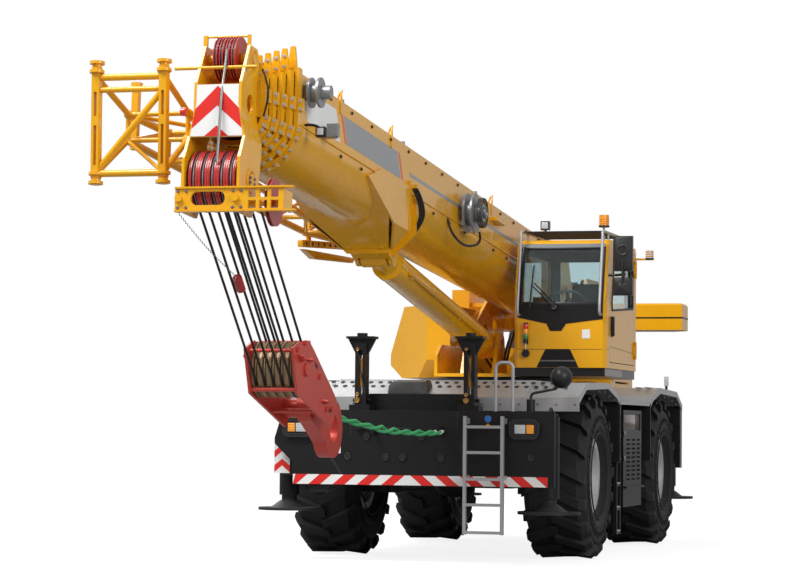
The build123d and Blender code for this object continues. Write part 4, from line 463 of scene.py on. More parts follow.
RED = Finish("red_paint", "red_paint", (0.50, 0.012, 0.009), 0.32, coat=0.3, specular=0.3,
             dust=0.03, worn=(0.25, 0.02, 0.02))
SHEAVE = Finish("sheave_red", "red_paint", (0.36, 0.014, 0.016), 0.35, coat=0.3, dust=0.04)
WHITE = Finish("white_film", "silver_paint", (0.83, 0.83, 0.82), 0.35, coat=0.3, wear=0.05)
REFLECTIVE = Finish("red_film", "red_paint", (0.72, 0.018, 0.012), 0.3, coat=0.4, wear=0.05)
GREY_FILM = Finish("grey_film", "silver_paint", (0.27, 0.28, 0.30), 0.35, coat=0.4, wear=0.05)
RUBBER = Finish("tyre_rubber", "tyre", (0.013, 0.013, 0.013), 0.65, texture=SUPPLE, dust=0.04,
                wear=0.5, worn=(0.035, 0.034, 0.033))
HOSE = Finish("black_hose", "dark_paint", (0.01, 0.01, 0.011), 0.45, texture=SUPPLE, dust=0.05)
PLASTIC = Finish("black_plastic", "grey_plastic", (0.014, 0.014, 0.015), 0.38, texture=CAST,
                 dust=0.04)
GREY = Finish("grey_plastic", "grey_plastic", (0.09, 0.095, 0.10), 0.5, texture=CAST)
WIRE = Finish("wire_rope", "rope", (0.022, 0.022, 0.023), 0.5, 0.5, texture=CAST)
GREY_WIRE = Finish("bright_rope", "rope", (0.27, 0.27, 0.26), 0.4, 0.7, texture=CAST)
ROPE_TAN = Finish("rope_in_groove", "rope", (0.36, 0.25, 0.13), 0.5, 0.2, texture=CAST)
BRONZE = Finish("bronze_sheave", "steel", (0.33, 0.22, 0.12), 0.4, 0.5, texture=BRUSHED)
BRASS = Finish("brass", "steel", (0.55, 0.30, 0.08), 0.3, 0.9, texture=BRUSHED)
AMBER = Finish("amber_lens", "grey_plastic", (0.88, 0.33, 0.012), 0.12, coat=1.0, texture=SMOOTH,
               glow=0.08)
LENS_RED = Finish("red_lens", "red_paint", (0.62, 0.01, 0.01), 0.12, coat=1.0, texture=SMOOTH,
                  glow=0.1)
LENS_GREEN = Finish("green_lens", "grey_plastic", (0.01, 0.19, 0.04), 0.12, coat=1.0,
                    texture=SMOOTH, glow=0.1)
LENS = Finish("clear_lens", "cab_glass", (0.55, 0.58, 0.60), 0.1, coat=1.0, texture=SMOOTH,
              dust=0.0)
MIRROR = Finish("mirror_glass", "cab_glass", (0.6, 0.62, 0.63), 0.04, 1.0, texture=SMOOTH,
                dust=0.0, wear=0.0)
GLASS = Finish("tinted_glass", "cab_glass", (0.60, 0.72, 0.74), 0.02, texture=SMOOTH, dust=0.0,
               wear=0.0, drift=0.0, transmission=1.0)
GREEN_WEB = Finish("green_strap", "seat_cloth", (0.05, 0.40, 0.14), 0.7, texture=WOVEN, dust=0.1)
CLOTH = Finish("seat_cloth", "seat_cloth", (0.085, 0.12, 0.15), 0.85, texture=WOVEN, wear=0.1)
BROWN = Finish("smoked_panel", "grey_plastic", (0.10, 0.06, 0.035), 0.25, coat=0.6)


# ================================================================ hand tools
def clear_selection() -> None:
    """Leaves edit mode and deselects everything."""
    if bpy.context.object and bpy.context.object.mode != "OBJECT":
        bpy.ops.object.mode_set(mode="OBJECT")
    bpy.ops.object.select_all(action="DESELECT")


def work_on(piece: Piece) -> None:
    """Makes one object the only selected and active one.

    Args:
        piece: the object.
    """
    clear_selection()
    piece.select_set(True)
    bpy.context.view_layer.objects.active = piece


def edit_all(piece: Piece) -> None:
    """Enters edit mode with the whole mesh selected.

    Args:
        piece: the object.
    """
    work_on(piece)
    bpy.ops.object.mode_set(mode="EDIT")
    bpy.ops.mesh.select_all(action="SELECT")


def settle() -> Piece:
    """Puts the new object's place into its mesh and returns it."""
    bpy.ops.object.transform_apply(location=True, rotation=True, scale=True)
    return bpy.context.object


def soften(piece: Piece, width: float = 0.0) -> Piece:
    """Rounds a piece's sharp edges with an applied bevel and shades it by angle.

    Args:
        piece: the piece.
        width: the bevel's width, or nothing for none.

    Returns:
        The piece.
    """
    work_on(piece)
    if width > 0:
        bevel = piece.modifiers.new("round", "BEVEL")
        bevel.width = width
        bevel.segments = 2
        bevel.limit_method = "ANGLE"
        bevel.angle_limit = math.radians(40)
        bpy.ops.object.modifier_apply(modifier=bevel.name)
    bpy.ops.object.shade_smooth_by_angle(angle=math.radians(38))
    return piece


def step_top(piece: Piece, inset: float, lift: float) -> None:
    """Insets the faces that look up and moves them along Z, staying in edit mode.

    Args:
        piece: the piece.
        inset: how far the faces are drawn in.
        lift: how far they move up.
    """
    work_on(piece)
    bpy.ops.object.mode_set(mode="EDIT")
    bpy.ops.mesh.select_mode(type="FACE")
    mesh = bmesh.from_edit_mesh(piece.data)
    for face in mesh.faces:
        face.select_set(face.normal.z > 0.9)
    mesh.select_flush_mode()
    bmesh.update_edit_mesh(piece.data)
    bpy.ops.mesh.inset(thickness=inset)
    bpy.ops.mesh.extrude_region_move(TRANSFORM_OT_translate={"value": (0, 0, lift)})


def moved(piece: Piece, place: Matrix) -> Piece:
    """Moves a piece's mesh to a place."""
    piece.data.transform(place)
    return piece


def block(low: Point, high: Point, bevel: float = 0.004) -> Piece:
    """Rounded block between two corners.

    Args:
        low: lowest corner.
        high: highest corner.
        bevel: width of its rounded edges.

    Returns:
        The block.
    """
    clear_selection()
    low, high = Vector(low), Vector(high)
    bpy.ops.mesh.primitive_cube_add(size=1, location=(low + high) / 2, scale=high - low)
    return soften(settle(), min(bevel, 0.4 * min(high - low)))


def drum(sides: int, radius: float, depth: float, z: float) -> Piece:
    """Plain upright cylinder about a height.

    Args:
        sides: how many sides it has.
        radius: its radius.
        depth: its height from end to end.
        z: height of its middle.

    Returns:
        The cylinder.
    """
    clear_selection()
    bpy.ops.mesh.primitive_cylinder_add(
        vertices=sides, radius=radius, depth=depth, location=(0, 0, z))
    return settle()


def disc(at: Point, facing: Matrix, radius: float, depth: float, dish: float = 0.0,
         sides: int = 24) -> Piece:
    """Round boss on a point, with a rounded rim and, where asked, a dished face.

    Args:
        at: middle of its foot.
        facing: turn that brings its own z to the way it looks.
        radius: its radius.
        depth: how far it stands out.
        dish: how deep its face is sunk.
        sides: how many sides it has.

    Returns:
        The boss.
    """
    piece = drum(sides, radius, depth, depth / 2)
    if dish:
        step_top(piece, radius * 0.22, -dish)
        bpy.ops.mesh.inset(thickness=radius * 0.18)
    return moved(soften(piece, min(0.12 * radius, 0.25 * depth)), stand(at, facing))


def bolt(radius: float) -> Piece:
    """Hexagon bolt on its washer, looking along +Z from the origin.

    Args:
        radius: radius over the corners of its head.

    Returns:
        The bolt.
    """
    washer = drum(12, radius * 1.35, radius * 0.3, radius * 0.15)
    head = drum(6, radius, radius * 0.8, radius * 0.65)
    step_top(head, radius * 0.3, radius * 0.12)
    return joined([washer, head])


def plate(corners: Sequence[Point], place: Matrix, thickness: float, bevel: float = 0.0) -> Piece:
    """Flat plate through corner points given in a place's x and y, thickened along its z.

    Args:
        corners: its corners.
        place: the place.
        thickness: how thick it is.
        bevel: width of its rounded edges.

    Returns:
        The plate.
    """
    clear_selection()
    bpy.ops.mesh.primitive_circle_add(vertices=len(corners), fill_type="NGON")
    piece = settle()
    for vertex, corner in zip(piece.data.vertices, corners):
        vertex.co = (corner[0], corner[1], 0)
    edit_all(piece)
    bpy.ops.mesh.select_mode(type="FACE")
    bpy.ops.mesh.extrude_region_move(TRANSFORM_OT_translate={"value": (0, 0, thickness)})
    bpy.ops.mesh.select_all(action="SELECT")
    bpy.ops.mesh.normals_make_consistent(inside=False)
    return moved(soften(piece, bevel), place)


def rounded(low: Point, high: Point, radius: float) -> list[Point]:
    """Outline of a rectangle with round corners of a radius.

    Args:
        low: its lower corner.
        high: its upper corner.
        radius: radius of the corners.

    Returns:
        The corner points in order.
    """
    steps, outline = 5, []
    right, left, top, foot = high[0] - radius, low[0] + radius, high[1] - radius, low[1] + radius
    for quarter, (x, y) in enumerate(((right, top), (left, top), (left, foot), (right, foot))):
        for step in range(steps + 1):
            angle = math.pi / 2 * (quarter + step / steps)
            outline.append((x + radius * math.cos(angle), y + radius * math.sin(angle)))
    return outline


def pipe(radius: float, *route: Point, smooth: bool = True, sides: int = 3) -> Piece:
    """Round tube along a route, closed at both ends.

    Args:
        radius: the tube's radius.
        route: the points that it follows.
        smooth: whether its bends are drawn as one smooth curve.
        sides: fineness of its round section.

    Returns:
        The tube as a mesh.
    """
    curve = bpy.data.curves.new("route", "CURVE")
    curve.dimensions = "3D"
    curve.bevel_depth = radius
    curve.bevel_resolution = sides
    curve.use_fill_caps = True
    curve.resolution_u = 6
    spline = curve.splines.new("NURBS" if smooth else "POLY")
    spline.points.add(len(route) - 1)
    for point, at in zip(spline.points, route):
        point.co = (*at, 1)
    if smooth:
        spline.order_u = 3
        spline.use_endpoint_u = True
    piece = bpy.data.objects.new("tube", curve)
    bpy.context.scene.collection.objects.link(piece)
    work_on(piece)
    bpy.ops.object.convert(target="MESH")
    piece = bpy.context.object
    edit_all(piece)
    bpy.ops.mesh.remove_doubles(threshold=0.0001)
    bpy.ops.mesh.normals_make_consistent(inside=False)
    return soften(piece)


def bar(radius: float, *route: Point, sides: int = 3) -> Piece:
    """Round bar with straight runs between its points."""
    return pipe(radius, *route, smooth=False, sides=sides)


def ring(at: Point, facing: Matrix, major: float, minor: float, sides: int = 48) -> Piece:
    """Round ring about an axis, flattened a little as a moulded bead is.

    Args:
        at: its middle.
        facing: turn that brings its own z to its axis.
        major: radius of the ring.
        minor: radius of its section.
        sides: how many sides it has.

    Returns:
        The ring.
    """
    clear_selection()
    bpy.ops.mesh.primitive_torus_add(
        major_radius=major, minor_radius=minor, major_segments=sides, minor_segments=8)
    piece = settle()
    edit_all(piece)
    bpy.ops.transform.resize(value=(1, 1, 0.7))
    return moved(soften(piece), stand(at, facing))


def joined(pieces: Iterable[Piece]) -> Piece:
    """Joins pieces into the first of them.

    Args:
        pieces: the pieces.

    Returns:
        The first piece, which holds them all.
    """
    first, *others = pieces
    work_on(first)
    for piece in others:
        piece.select_set(True)
    if others:
        bpy.ops.object.join()
    return first


def copies(piece: Piece, places: Iterable[Matrix]) -> Piece:
    """One mesh of a piece repeated at each place; the piece itself is used up.

    Args:
        piece: the piece.
        places: where each copy goes.

    Returns:
        The mesh of all copies.
    """
    made = []
    for place in places:
        twin = piece.copy()
        twin.data = piece.data.copy()
        twin.data.transform(place)
        bpy.context.scene.collection.objects.link(twin)
        made.append(twin)
    bpy.data.objects.remove(piece)
    return joined(made)


@dataclass
class SubAssembly:
    """Fittings that ride on one body, drawn in one place's own axes."""

    body: str = "carrier"
    place: Matrix = fixed(CARRIER)
    face: Matrix = fixed(UP)
    made: dict[tuple[str, Finish], list[Piece]] = field(default_factory=dict)

    def add(self, name: str, finish: Finish, *pieces: Piece) -> None:
        """Keeps meshes for the named piece."""
        self.made.setdefault((name, finish), []).extend(pieces)

    def film(self, name: str, finish: Finish, corners: Sequence[Point], thickness: float,
             lift: float = 0.0) -> None:
        """Keeps a thin film that lies on the sub-assembly's main face.

        Args:
            name: the piece's name.
            finish: the piece's finish.
            corners: its corners, in the face's own x and y.
            thickness: how thick it is.
            lift: how far it lies off the face.
        """
        place = self.face @ Matrix.Translation((0, 0, lift))
        self.add(name, finish, plate(corners, place, thickness))

    def bolts(self, name: str, finish: Finish, radius: float, places: Iterable[Matrix]) -> None:
        """Keeps bolts of one size at each place."""
        self.add(name, finish, copies(bolt(radius), places))

    def fit(self) -> None:
        """Makes the fittings; each kind of sub-assembly has its own."""
        raise NotImplementedError

    def build(self) -> None:
        """Makes the fittings, then joins, places and mounts them."""
        self.fit()
        for (name, finish), meshes in self.made.items():
            self.mount(moved(joined(meshes), self.place), name, finish)

    def mount(self, piece: Piece, name: str, finish: Finish) -> None:
        """Names a finished piece, gives it its finish and lets it ride on the body.

        Args:
            piece: the piece, in the frame's axes.
            name: its name.
            finish: its finish.
        """
        piece.matrix_world = Matrix.Identity(4)
        piece.name = piece.data.name = name
        piece.data.materials.clear()
        piece.data.materials.append(finish.material())
        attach(piece, self.body)
        LOG.info("%s rides on %s with %d faces", name, self.body, len(piece.data.polygons))


# ================================================================ carrier
@dataclass
class Bumper(SubAssembly):
    """Front bumper's stripes, bolts, lamps, labels and the strap that ties the hook."""

    face_x: float = 4.0
    face: Matrix = fixed(stand((face_x, 0, 0), FRONT))
    edges: tuple[float, float] = (-1.235, 1.47)
    stripe: tuple[float, float] = (0.784, 0.886)
    stripe_pitch: float = 0.262
    label: float = 0.0015

    def stripes(self) -> None:
        """Hazard stripes along the lower edge, slanting away from the middle."""
        (right, left), (low, high) = self.edges, self.stripe
        self.film("bumper_stripe_white", WHITE, rect((right, low), (left, high)), self.label)
        for side, i in product(BOTH, range(7)):
            near = 0.03 + i * self.stripe_pitch
            line = [(near, high), (near + 0.13, high), (near + 0.25, low), (near + 0.12, low)]
            if any(right <= side * y <= left for y, _ in line):
                line = [(min(max(side * y, right), left), z) for y, z in line]
                self.film("bumper_stripe_red", REFLECTIVE, line, 0.001, self.label)

    def fittings(self) -> None:
        """Round bolt heads, the tow bar, dark lines of painted shade along the creases, and blank
        labels.
        """
        x = self.face_x
        for y, z in ((-0.437, 1.286), (0.15, 1.282), (-0.64, 1.078), (-0.231, 1.072),
                     (-0.05, 1.074), (0.354, 1.069), (1.30, 1.08), (-0.95, 1.28)):
            self.add("bumper_bolts", CHARCOAL, disc((x, y, z), FRONT, 0.036, 0.02, 0.008),
                     copies(bolt(0.014), [stand((x + 0.01, y, z), FRONT)]))
        self.add("tow_bar", BLACK, block((x, -0.55, 1.345), (x + 0.05, -0.47, 1.395), 0.01),
                 bar(0.01, (x + 0.03, -0.5, 1.365), (x + 0.03, 0.05, 1.365)))
        # Charcoal lines along the face's creases: painted shade where the folds turn in.
        crease = [(-0.95, 1.24), (-0.93, 1.24), (-0.70, 0.89), (-0.72, 0.89)]
        self.film("face_creases", CHARCOAL, crease, 0.004)
        for y in (-0.62, 0.52):
            self.film("face_creases", CHARCOAL, rect((y, 1.3), (y + 0.006, 1.54)), 0.003)
        self.film("blank_labels", WHITE, rect((-0.88, 1.106), (-0.72, 1.18)), self.label)
        # The amber lens finish glows a little, so this strip on the label is painted light.
        self.film("label_edges", AMBER, rect((-0.88, 1.165), (-0.72, 1.18)), 0.001, self.label)
        self.add("blank_disc", BLUE_FILM, disc((x, 0.845, 1.472), FRONT, 0.036, 0.003))
        triangle = [(0.81, 1.39), (0.88, 1.39), (0.845, 1.43)]
        self.film("blank_triangle", YELLOW, triangle, self.label)
        self.add("mud_flap", HOSE, block((x - 0.06, -1.07, 0.70), (x - 0.045, -0.86, 0.80), 0.006))

    def lamps(self) -> None:
        """Clear and amber lenses of both headlamps, with their fluting."""
        x = self.face_x
        lenses = (("headlamp_clear", LENS, -0.10, 0.012), ("headlamp_amber", AMBER, 0.022, 0.10))
        for (middle, order), (name, finish, near, far) in product(
                ((1.235, 1), (-1.18, -1)), lenses):
            low, high = sorted((middle + order * near, middle + order * far))
            self.add(name, finish, block((x + 0.048, low, 1.325), (x + 0.058, high, 1.415)))
            for z in (1.345, 1.370, 1.395):
                self.add(name, finish, block((x + 0.056, low + 0.008, z),
                                             (x + 0.061, high - 0.008, z + 0.012), 0.002))

    def strap(self) -> None:
        """Green strap from the hook's bowl to a shackle on the left tow lug."""
        start, end, steps = Vector((6.62, 0.02, 1.47)), Vector((4.12, 0.37, 1.325)), 40
        for phase in (0.0, math.pi):
            route = []
            for t in (i / steps for i in range(steps + 1)):
                swell = 0.012 + 0.016 * math.sin(math.pi * t) * (0.6 + 0.4 * math.sin(17 * t))
                at, turn = start.lerp(end, t), 26 * t + phase
                at.z -= 0.05 * math.sin(math.pi * t)
                route.append(at + Vector((0, swell * math.cos(turn), swell * math.sin(turn))))
            self.add("lashing_strap", GREEN_WEB, pipe(0.016, *route))
        bow = ((4.092, 0.31, 1.34), (4.15, 0.325, 1.35), (4.165, 0.35, 1.33), (4.15, 0.385, 1.31),
               (4.092, 0.392, 1.34))
        self.add("tow_shackle", SILVER, pipe(0.013, *bow),
                 bar(0.016, (4.092, 0.30, 1.34), (4.092, 0.405, 1.34)))

    def fit(self) -> None:
        """All of the bumper's fittings."""
        self.stripes()
        self.fittings()
        self.lamps()
        self.strap()


@dataclass
class Deck(SubAssembly):
    """Raised grip holes darkened with painted shade, folded edges and rivets of the deck."""

    rear: tuple[float, float] = (2.87, 1.88)
    nose: tuple[float, float] = (3.28, 1.70)
    pitch: float = 0.105

    def slope_place(self, along: float, y: float) -> Matrix:
        """Place on the sloping front of the deck.

        Args:
            along: share of the slope's length.
            y: its own y.

        Returns:
            The place, which looks off the slope.
        """
        (x0, z0), (x1, z1) = self.rear, self.nose
        tilt = Matrix.Rotation(math.atan2(z0 - z1, x1 - x0), 4, "Y")
        return stand((x0 + (x1 - x0) * along, y, z0 + (z1 - z0) * along), tilt)

    def fit(self) -> None:
        """Grip holes darkened with painted shade on the slope and the arches, seams and rivets."""
        places = []
        for (row, along), i in product(enumerate((0.12, 0.36)), range(int(3.1 / self.pitch))):
            y = -1.55 + self.pitch * (i + 0.5 * row)
            if not -0.46 < y < 0.02:
                places.append(self.slope_place(along, y))
        arches = list(product(BOTH, (AXLE_X, -AXLE_X)))
        for (side, axle), row, i in product(arches, range(2), range(9)):
            x = axle - 0.30 + self.pitch * (i + 0.5 * row)
            z = 1.89 - max(0.0, x - axle) * 0.025 if axle > 0 else 1.889
            places.append(Matrix.Translation((x, side * (1.38 + 0.12 * row), z)))
        # Charcoal dished discs stand in for the openings: painted shade in the holes.
        grip = disc((0, 0, 0), UP, 0.026, 0.006, 0.005, 14)
        self.add("grip_holes", CHARCOAL, copies(grip, places))
        self.bolts("deck_rivets", STEEL, 0.009, [
            stand((self.nose[0], -1.6 + 0.2 * i, 1.63), FRONT) for i in range(17)])
        for side, axle in arches:
            self.bolts("arch_bolts", STEEL, 0.01, [
                stand((axle - 0.7 + 0.28 * i, side * 1.64, 1.80 - 0.10 * abs(i - 2.5) / 2.5),
                      outward(side)) for i in range(6)])
        for y in (-1.63, 1.63):
            self.add("walkway_edge", SILVER, block(
                (-0.93, y - 0.008, 1.66), (0.93, y + 0.008, 1.71)))
        self.bolts("cover_rivets", STEEL, 0.008, [
            stand((3.2, -0.38 + 0.08 * i, 1.868), UP) for i in range(5)])


@dataclass
class WheelTrim(SubAssembly):
    """Hub, studs and moulded sidewall rings of one wheel."""

    name: str = "fl"
    side: int = 1

    def __post_init__(self) -> None:
        """Finds the wheel's body and its middle."""
        self.body = "wheel_" + self.name
        self.place = Matrix.Translation(centre("tyre_" + self.name))

    def fit(self) -> None:
        """Studs round the disc, the hub's cover and the tyre's moulded rings."""
        facing, out = outward(self.side), self.side
        for kind, size, count, radius, depth in (("_wheel_studs", 0.016, 20, 0.245, 0.062),
                                                 ("_hub_bolts", 0.010, 12, 0.125, 0.205)):
            self.bolts(self.name + kind, STEEL, size, [
                stand((x, out * depth, z), facing) for x, z in around(count, radius)])
        cover = disc((0, out * 0.212, 0), facing, 0.085, 0.03, 0.012, 32)
        self.add(self.name + "_hub_cover", SILVER, cover)
        beads = ((0.46, 0.344, 0.012), (0.60, 0.350, 0.010), (0.655, 0.346, 0.007))
        for side, (radius, depth, minor) in product(BOTH, beads):
            self.add(self.name + "_sidewall_rings", RUBBER,
                     ring((0, side * depth, 0), facing, radius, minor, 64))
        rib, count = block((-0.03, -0.008, -0.006), (0.03, 0.008, 0.006), 0.003), 36
        self.add(self.name + "_sidewall_ribs", RUBBER, copies(rib, [
            Matrix.Rotation(2 * math.pi * i / count, 4, "Y")
            @ Matrix.Translation((0.628, out * 0.352, 0)) for i in range(count)]))


@dataclass
class CarrierTrim(SubAssembly):
    """Lamps, latches and hoses of the carrier outside the bumper."""

    face: Matrix = fixed(stand((REAR_X, 0, 0), REAR))

    def fit(self) -> None:
        """Locker latches, hood hinges, tail lamps, post pins, marker lamps and ladder treads."""
        for z in (1.02, 1.30):
            self.add("locker_latches", STEEL, block(
                (0.60, 1.62, z), (0.64, 1.634, z + 0.06), 0.006))
        self.add("locker_window", BROWN, block((-0.40, 1.606, 1.38), (0.59, 1.612, 1.55), 0.003))
        for y in (-0.585, 0.585):
            for z, radius in ((1.66, 0.03), (1.72, 0.02), (2.19, 0.018)):
                self.add("post_pins", BRASS, disc((3.76, y - 0.03, z), FRONT, radius, 0.02, 0.005))
            self.add("post_wires", HOSE, pipe(
                0.008, (3.78, y + 0.05, 1.62), (3.80, y + 0.07, 1.75), (3.775, y + 0.02, 1.85),
                (3.775, y - 0.01, 2.12)))
            # The amber lens finish glows a little, which paints light on these strips inside the
            # posts.
            self.add("post_insides", AMBER, block(
                (3.70, y - 0.019, 1.80), (3.72, y + 0.019, 2.10), 0.002))
        for side in BOTH:
            for name, finish, y, half in (("tail_lamps", LENS_RED, side * 1.12, 0.12),
                                          ("tail_amber", AMBER, side * 0.92, 0.06)):
                self.add(name, finish, block((REAR_X - 0.013, y - half, 1.30),
                                             (REAR_X, y + half, 1.40)))
            for z in (0.225 + 0.266 * i for i in range(6)):
                self.add("ladder_treads", SILVER, block(
                    (0.75, side * 1.555, z + 0.012), (0.91, side * 1.605, z + 0.026), 0.003))
            for z in (1.98, 2.2):
                self.add("hood_latches", STEEL, block(
                    (-2.44, side * 0.9 - 0.008, z), (-2.40, side * 0.9 + 0.008, z + 0.05)))
        self.add("exhaust_pipe", STEEL, pipe(0.055, (-3.4, -0.62, 2.30), (-3.4, -0.62, 2.55),
                                             (-3.44, -0.62, 2.62), (-3.56, -0.62, 2.66)))
        self.add("marker_lamp", LENS, block((-2.60, 1.53, 1.93), (-2.54, 1.58, 2.05), 0.01))
        self.add("marker_stalk", BLACK, block((-2.585, 1.54, 1.80), (-2.555, 1.57, 1.94)))
        self.bolts("ring_bolts", YELLOW, 0.022, [
            stand((x, y, 1.892), UP) for x, y in around(40, 0.83)])
        self.film("rear_stripe", WHITE, rect((-1.25, 0.84), (1.25, 0.94)), 0.002)


@dataclass
class BeamEnd(SubAssembly):
    """Warning stripes, hose and cap on one outrigger beam's head."""

    place: Matrix = fixed(UP)
    name: str = "fl"
    end: int = 1
    width: float = 0.085

    def __post_init__(self) -> None:
        """Finds the beam's body."""
        self.body = "beam_" + self.name

    def fit(self) -> None:
        """Slanted stripes on the outer face, with the jack's hose and top cap."""
        jack, (low, high) = centre("jack_" + self.name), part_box(self.body)
        x = (high.x if self.end > 0 else low.x) - self.end * 0.002
        self.face = stand((x, 0, 0), FRONT if self.end > 0 else REAR)
        middle, top = self.end * jack.y, high.z
        right, left = middle - self.width, middle + self.width
        self.film(self.body + "_white", WHITE, rect((right, 0.89), (left, 1.19)), 0.004)
        for z in (0.90, 1.05):
            line = [(right, z), (middle, z + 0.07), (left, z), (left, z + 0.07),
                    (middle, z + 0.14), (right, z + 0.07)]
            self.film(self.body + "_red", REFLECTIVE, line, 0.0055)
        self.add(self.body + "_cap", BLACK, disc((jack.x, jack.y, top), UP, 0.085, 0.03, 0.008))
        hose = [(jack.x - back, jack.y, top + up) for back, up in (
            (0.02, 0.02), (0.02, 0.08), (0.10, 0.09), (0.16, -0.02), (0.15, -0.20))]
        self.add(self.body + "_hose", HOSE, pipe(0.014, *hose))


# ================================================================ superstructure
@dataclass
class Cab(SubAssembly):
    """Cab's black glazing frame, wiper, signal stack, seams, labels, guard and lamps."""

    body: str = "upper"
    front_x: float = 1.4
    face: Matrix = fixed(stand((front_x, 0, 0), FRONT))

    def glazing(self) -> None:
        """Black frame round the windscreen and panel below it."""
        for low, high in (((-0.487, -0.005), (-0.43, 0.68)), ((0.43, -0.005), (0.487, 0.68)),
                          ((-0.43, -0.005), (0.43, 0.034)), ((-0.43, 0.655), (0.43, 0.672))):
            self.add("screen_frame", BLACK, plate(rect(low, high), SCREEN, 0.006, 0.002))
        self.film("screen_frame", BLACK, [
            (0.55, 2.762), (1.52, 2.762), (1.52, 2.60), (1.105, 2.55), (1.05, 2.47), (0.92, 2.47),
            (0.88, 2.55), (0.55, 2.62)], 0.005)
        self.film("lower_vent", BLACK, [
            (0.77, 2.062), (1.25, 2.062), (1.15, 2.268), (0.87, 2.268)], 0.004)
        self.film("vent_bar", GREY, [
            (0.81, 2.13), (1.21, 2.13), (1.205, 2.145), (0.815, 2.145)], 0.008)
        self.film("blank_plate", WHITE, rect((1.285, 2.385), (1.376, 2.485)), 0.003)
        for right, left in ((0.56, 0.86), (1.16, 1.51)):
            self.film("front_seam", CHARCOAL, rect((right, 2.262), (left, 2.262 + 0.005)), 0.0012)
        for x0, x1 in ((1.36, 1.21), (-0.36, -0.40)):
            line = [(-x0, 2.262), (-x1, 2.27), (-x1, 2.275), (-x0, 2.267)]
            self.add("side_seam", CHARCOAL, plate(line, CAB_LEFT, 0.0012))

    def wiper(self) -> None:
        """Wiper's motor boss, arm and blade on the windscreen."""
        boss = disc((-0.06, -0.03, 0.005), UP, 0.035, 0.04, 0.008)
        self.add("wiper", PLASTIC, moved(boss, SCREEN))
        arm = ((-0.06, -0.03, 0.05), (-0.16, 0.06, 0.06), (-0.33, 0.22, 0.035))
        for shift in (0.0, 0.025):
            shifted = [(x + shift, y + shift, z) for x, y, z in arm]
            self.add("wiper", PLASTIC, moved(bar(0.008, *shifted), SCREEN))
        blade = ((-0.34, -0.02, 0.018), (-0.335, 0.2, 0.026), (-0.32, 0.46, 0.018))
        self.add("wiper", PLASTIC, moved(pipe(0.010, *blade), SCREEN))

    def signals(self) -> None:
        """Signal stack with its round mirror, roof lamp and beacons."""
        x, y = self.front_x + 0.045, 0.655
        for name, finish, z, depth in (
                ("signal_red", LENS_RED, 2.49, 0.055), ("signal_amber", AMBER, 2.435, 0.052),
                ("signal_green", LENS_GREEN, 2.38, 0.052), ("signal_base", PLASTIC, 2.335, 0.044),
                ("signal_base", PLASTIC, 2.545, 0.016)):
            self.add(name, finish, disc((x, y, z), UP, 0.029, depth))
        self.add("signal_base", PLASTIC, block((self.front_x, y - 0.02, 2.32), (x, y + 0.02, 2.36)))
        self.add("signal_stalk", SILVER, bar(0.007, (x, y, 2.34), (x, y, 2.25)))
        self.add("signal_mirror", PLASTIC, disc((x - 0.01, y, 2.217), FRONT, 0.045, 0.02, 0.004))
        self.add("roof_lamp_glass", LENS, block((1.149, 0.762, 3.633), (1.158, 0.838, 3.708)))
        for x, y, z, radius in ((0.9, 1.43, 3.69, 0.057), (-0.375, 1.725, 3.40, 0.048)):
            for i in range(3):
                at = (x, y, z + 0.012 + 0.026 * i)
                self.add("beacon_bands", AMBER, ring(at, UP, radius - 0.004, 0.009, 32))
            self.add("beacon_foot", PLASTIC, disc((x, y, z - 0.028), UP, radius + 0.006, 0.02))

    def guard(self) -> None:
        """Fine bars of the roof guard and the mirrors' faces."""
        self.add("guard_bars", CHARCOAL, copies(
            bar(0.005, (0, 0.58, 3.592), (0, 1.49, 3.592), sides=1),
            [Matrix.Translation((0.1 + 0.04 * i, 0, 0)) for i in range(30)]))
        back = stand((1.44, 0, 0), FRONT)
        for low, high in ((3.14, 3.51), (2.87, 3.05)):
            shell = plate(rounded((1.65, low), (1.85, high), 0.04), back, 0.024, 0.008)
            self.add("mirror_rim", PLASTIC, shell)
            self.add("mirror_face", MIRROR, block(
                (1.392, 1.66, low + 0.02), (1.398, 1.84, high - 0.02), 0.003))
        self.add("mirror_rim", PLASTIC, disc((1.46, 1.75, 3.36), FRONT, 0.06, 0.02, 0.01),
                 plate(rounded((1.70, 2.90), (1.80, 2.99), 0.02), back, 0.034, 0.006),
                 pipe(0.010, (1.475, 1.75, 3.25), (1.48, 1.75, 3.10), (1.47, 1.75, 2.95)))

    def fit(self) -> None:
        """All of the cab's fittings."""
        self.glazing()
        self.wiper()
        self.signals()
        self.guard()


@dataclass
class Door(SubAssembly):
    """Door's handle recess, window gasket and seam."""

    body: str = "cab_door"
    face: Matrix = fixed(CAB_LEFT)

    def fit(self) -> None:
        """Oval behind the handle and a gasket round the pane."""
        self.add("handle_recess", PLASTIC, plate(
            around(28, 0.055, 0.12), stand((1.11, 1.56, 2.53), LEFT), 0.006, 0.002))
        pane = ((-0.19, 2.785), (1.075, 2.71), (1.095, 2.79), (0.98, 3.295), (0.955, 3.32),
                (-0.19, 3.32), (-0.19, 2.785))
        self.add("door_gasket", HOSE, bar(0.012, *((x, 1.560, z) for x, z in pane)))
        seam = [(-1.19, 2.30), (0.28, 2.26), (0.28, 2.265), (-1.19, 2.305)]
        self.film("door_seam", CHARCOAL, seam, 0.0012)
        self.add("door_lock", SILVER, disc((1.03, 1.56, 2.42), LEFT, 0.014, 0.012, 0.004))


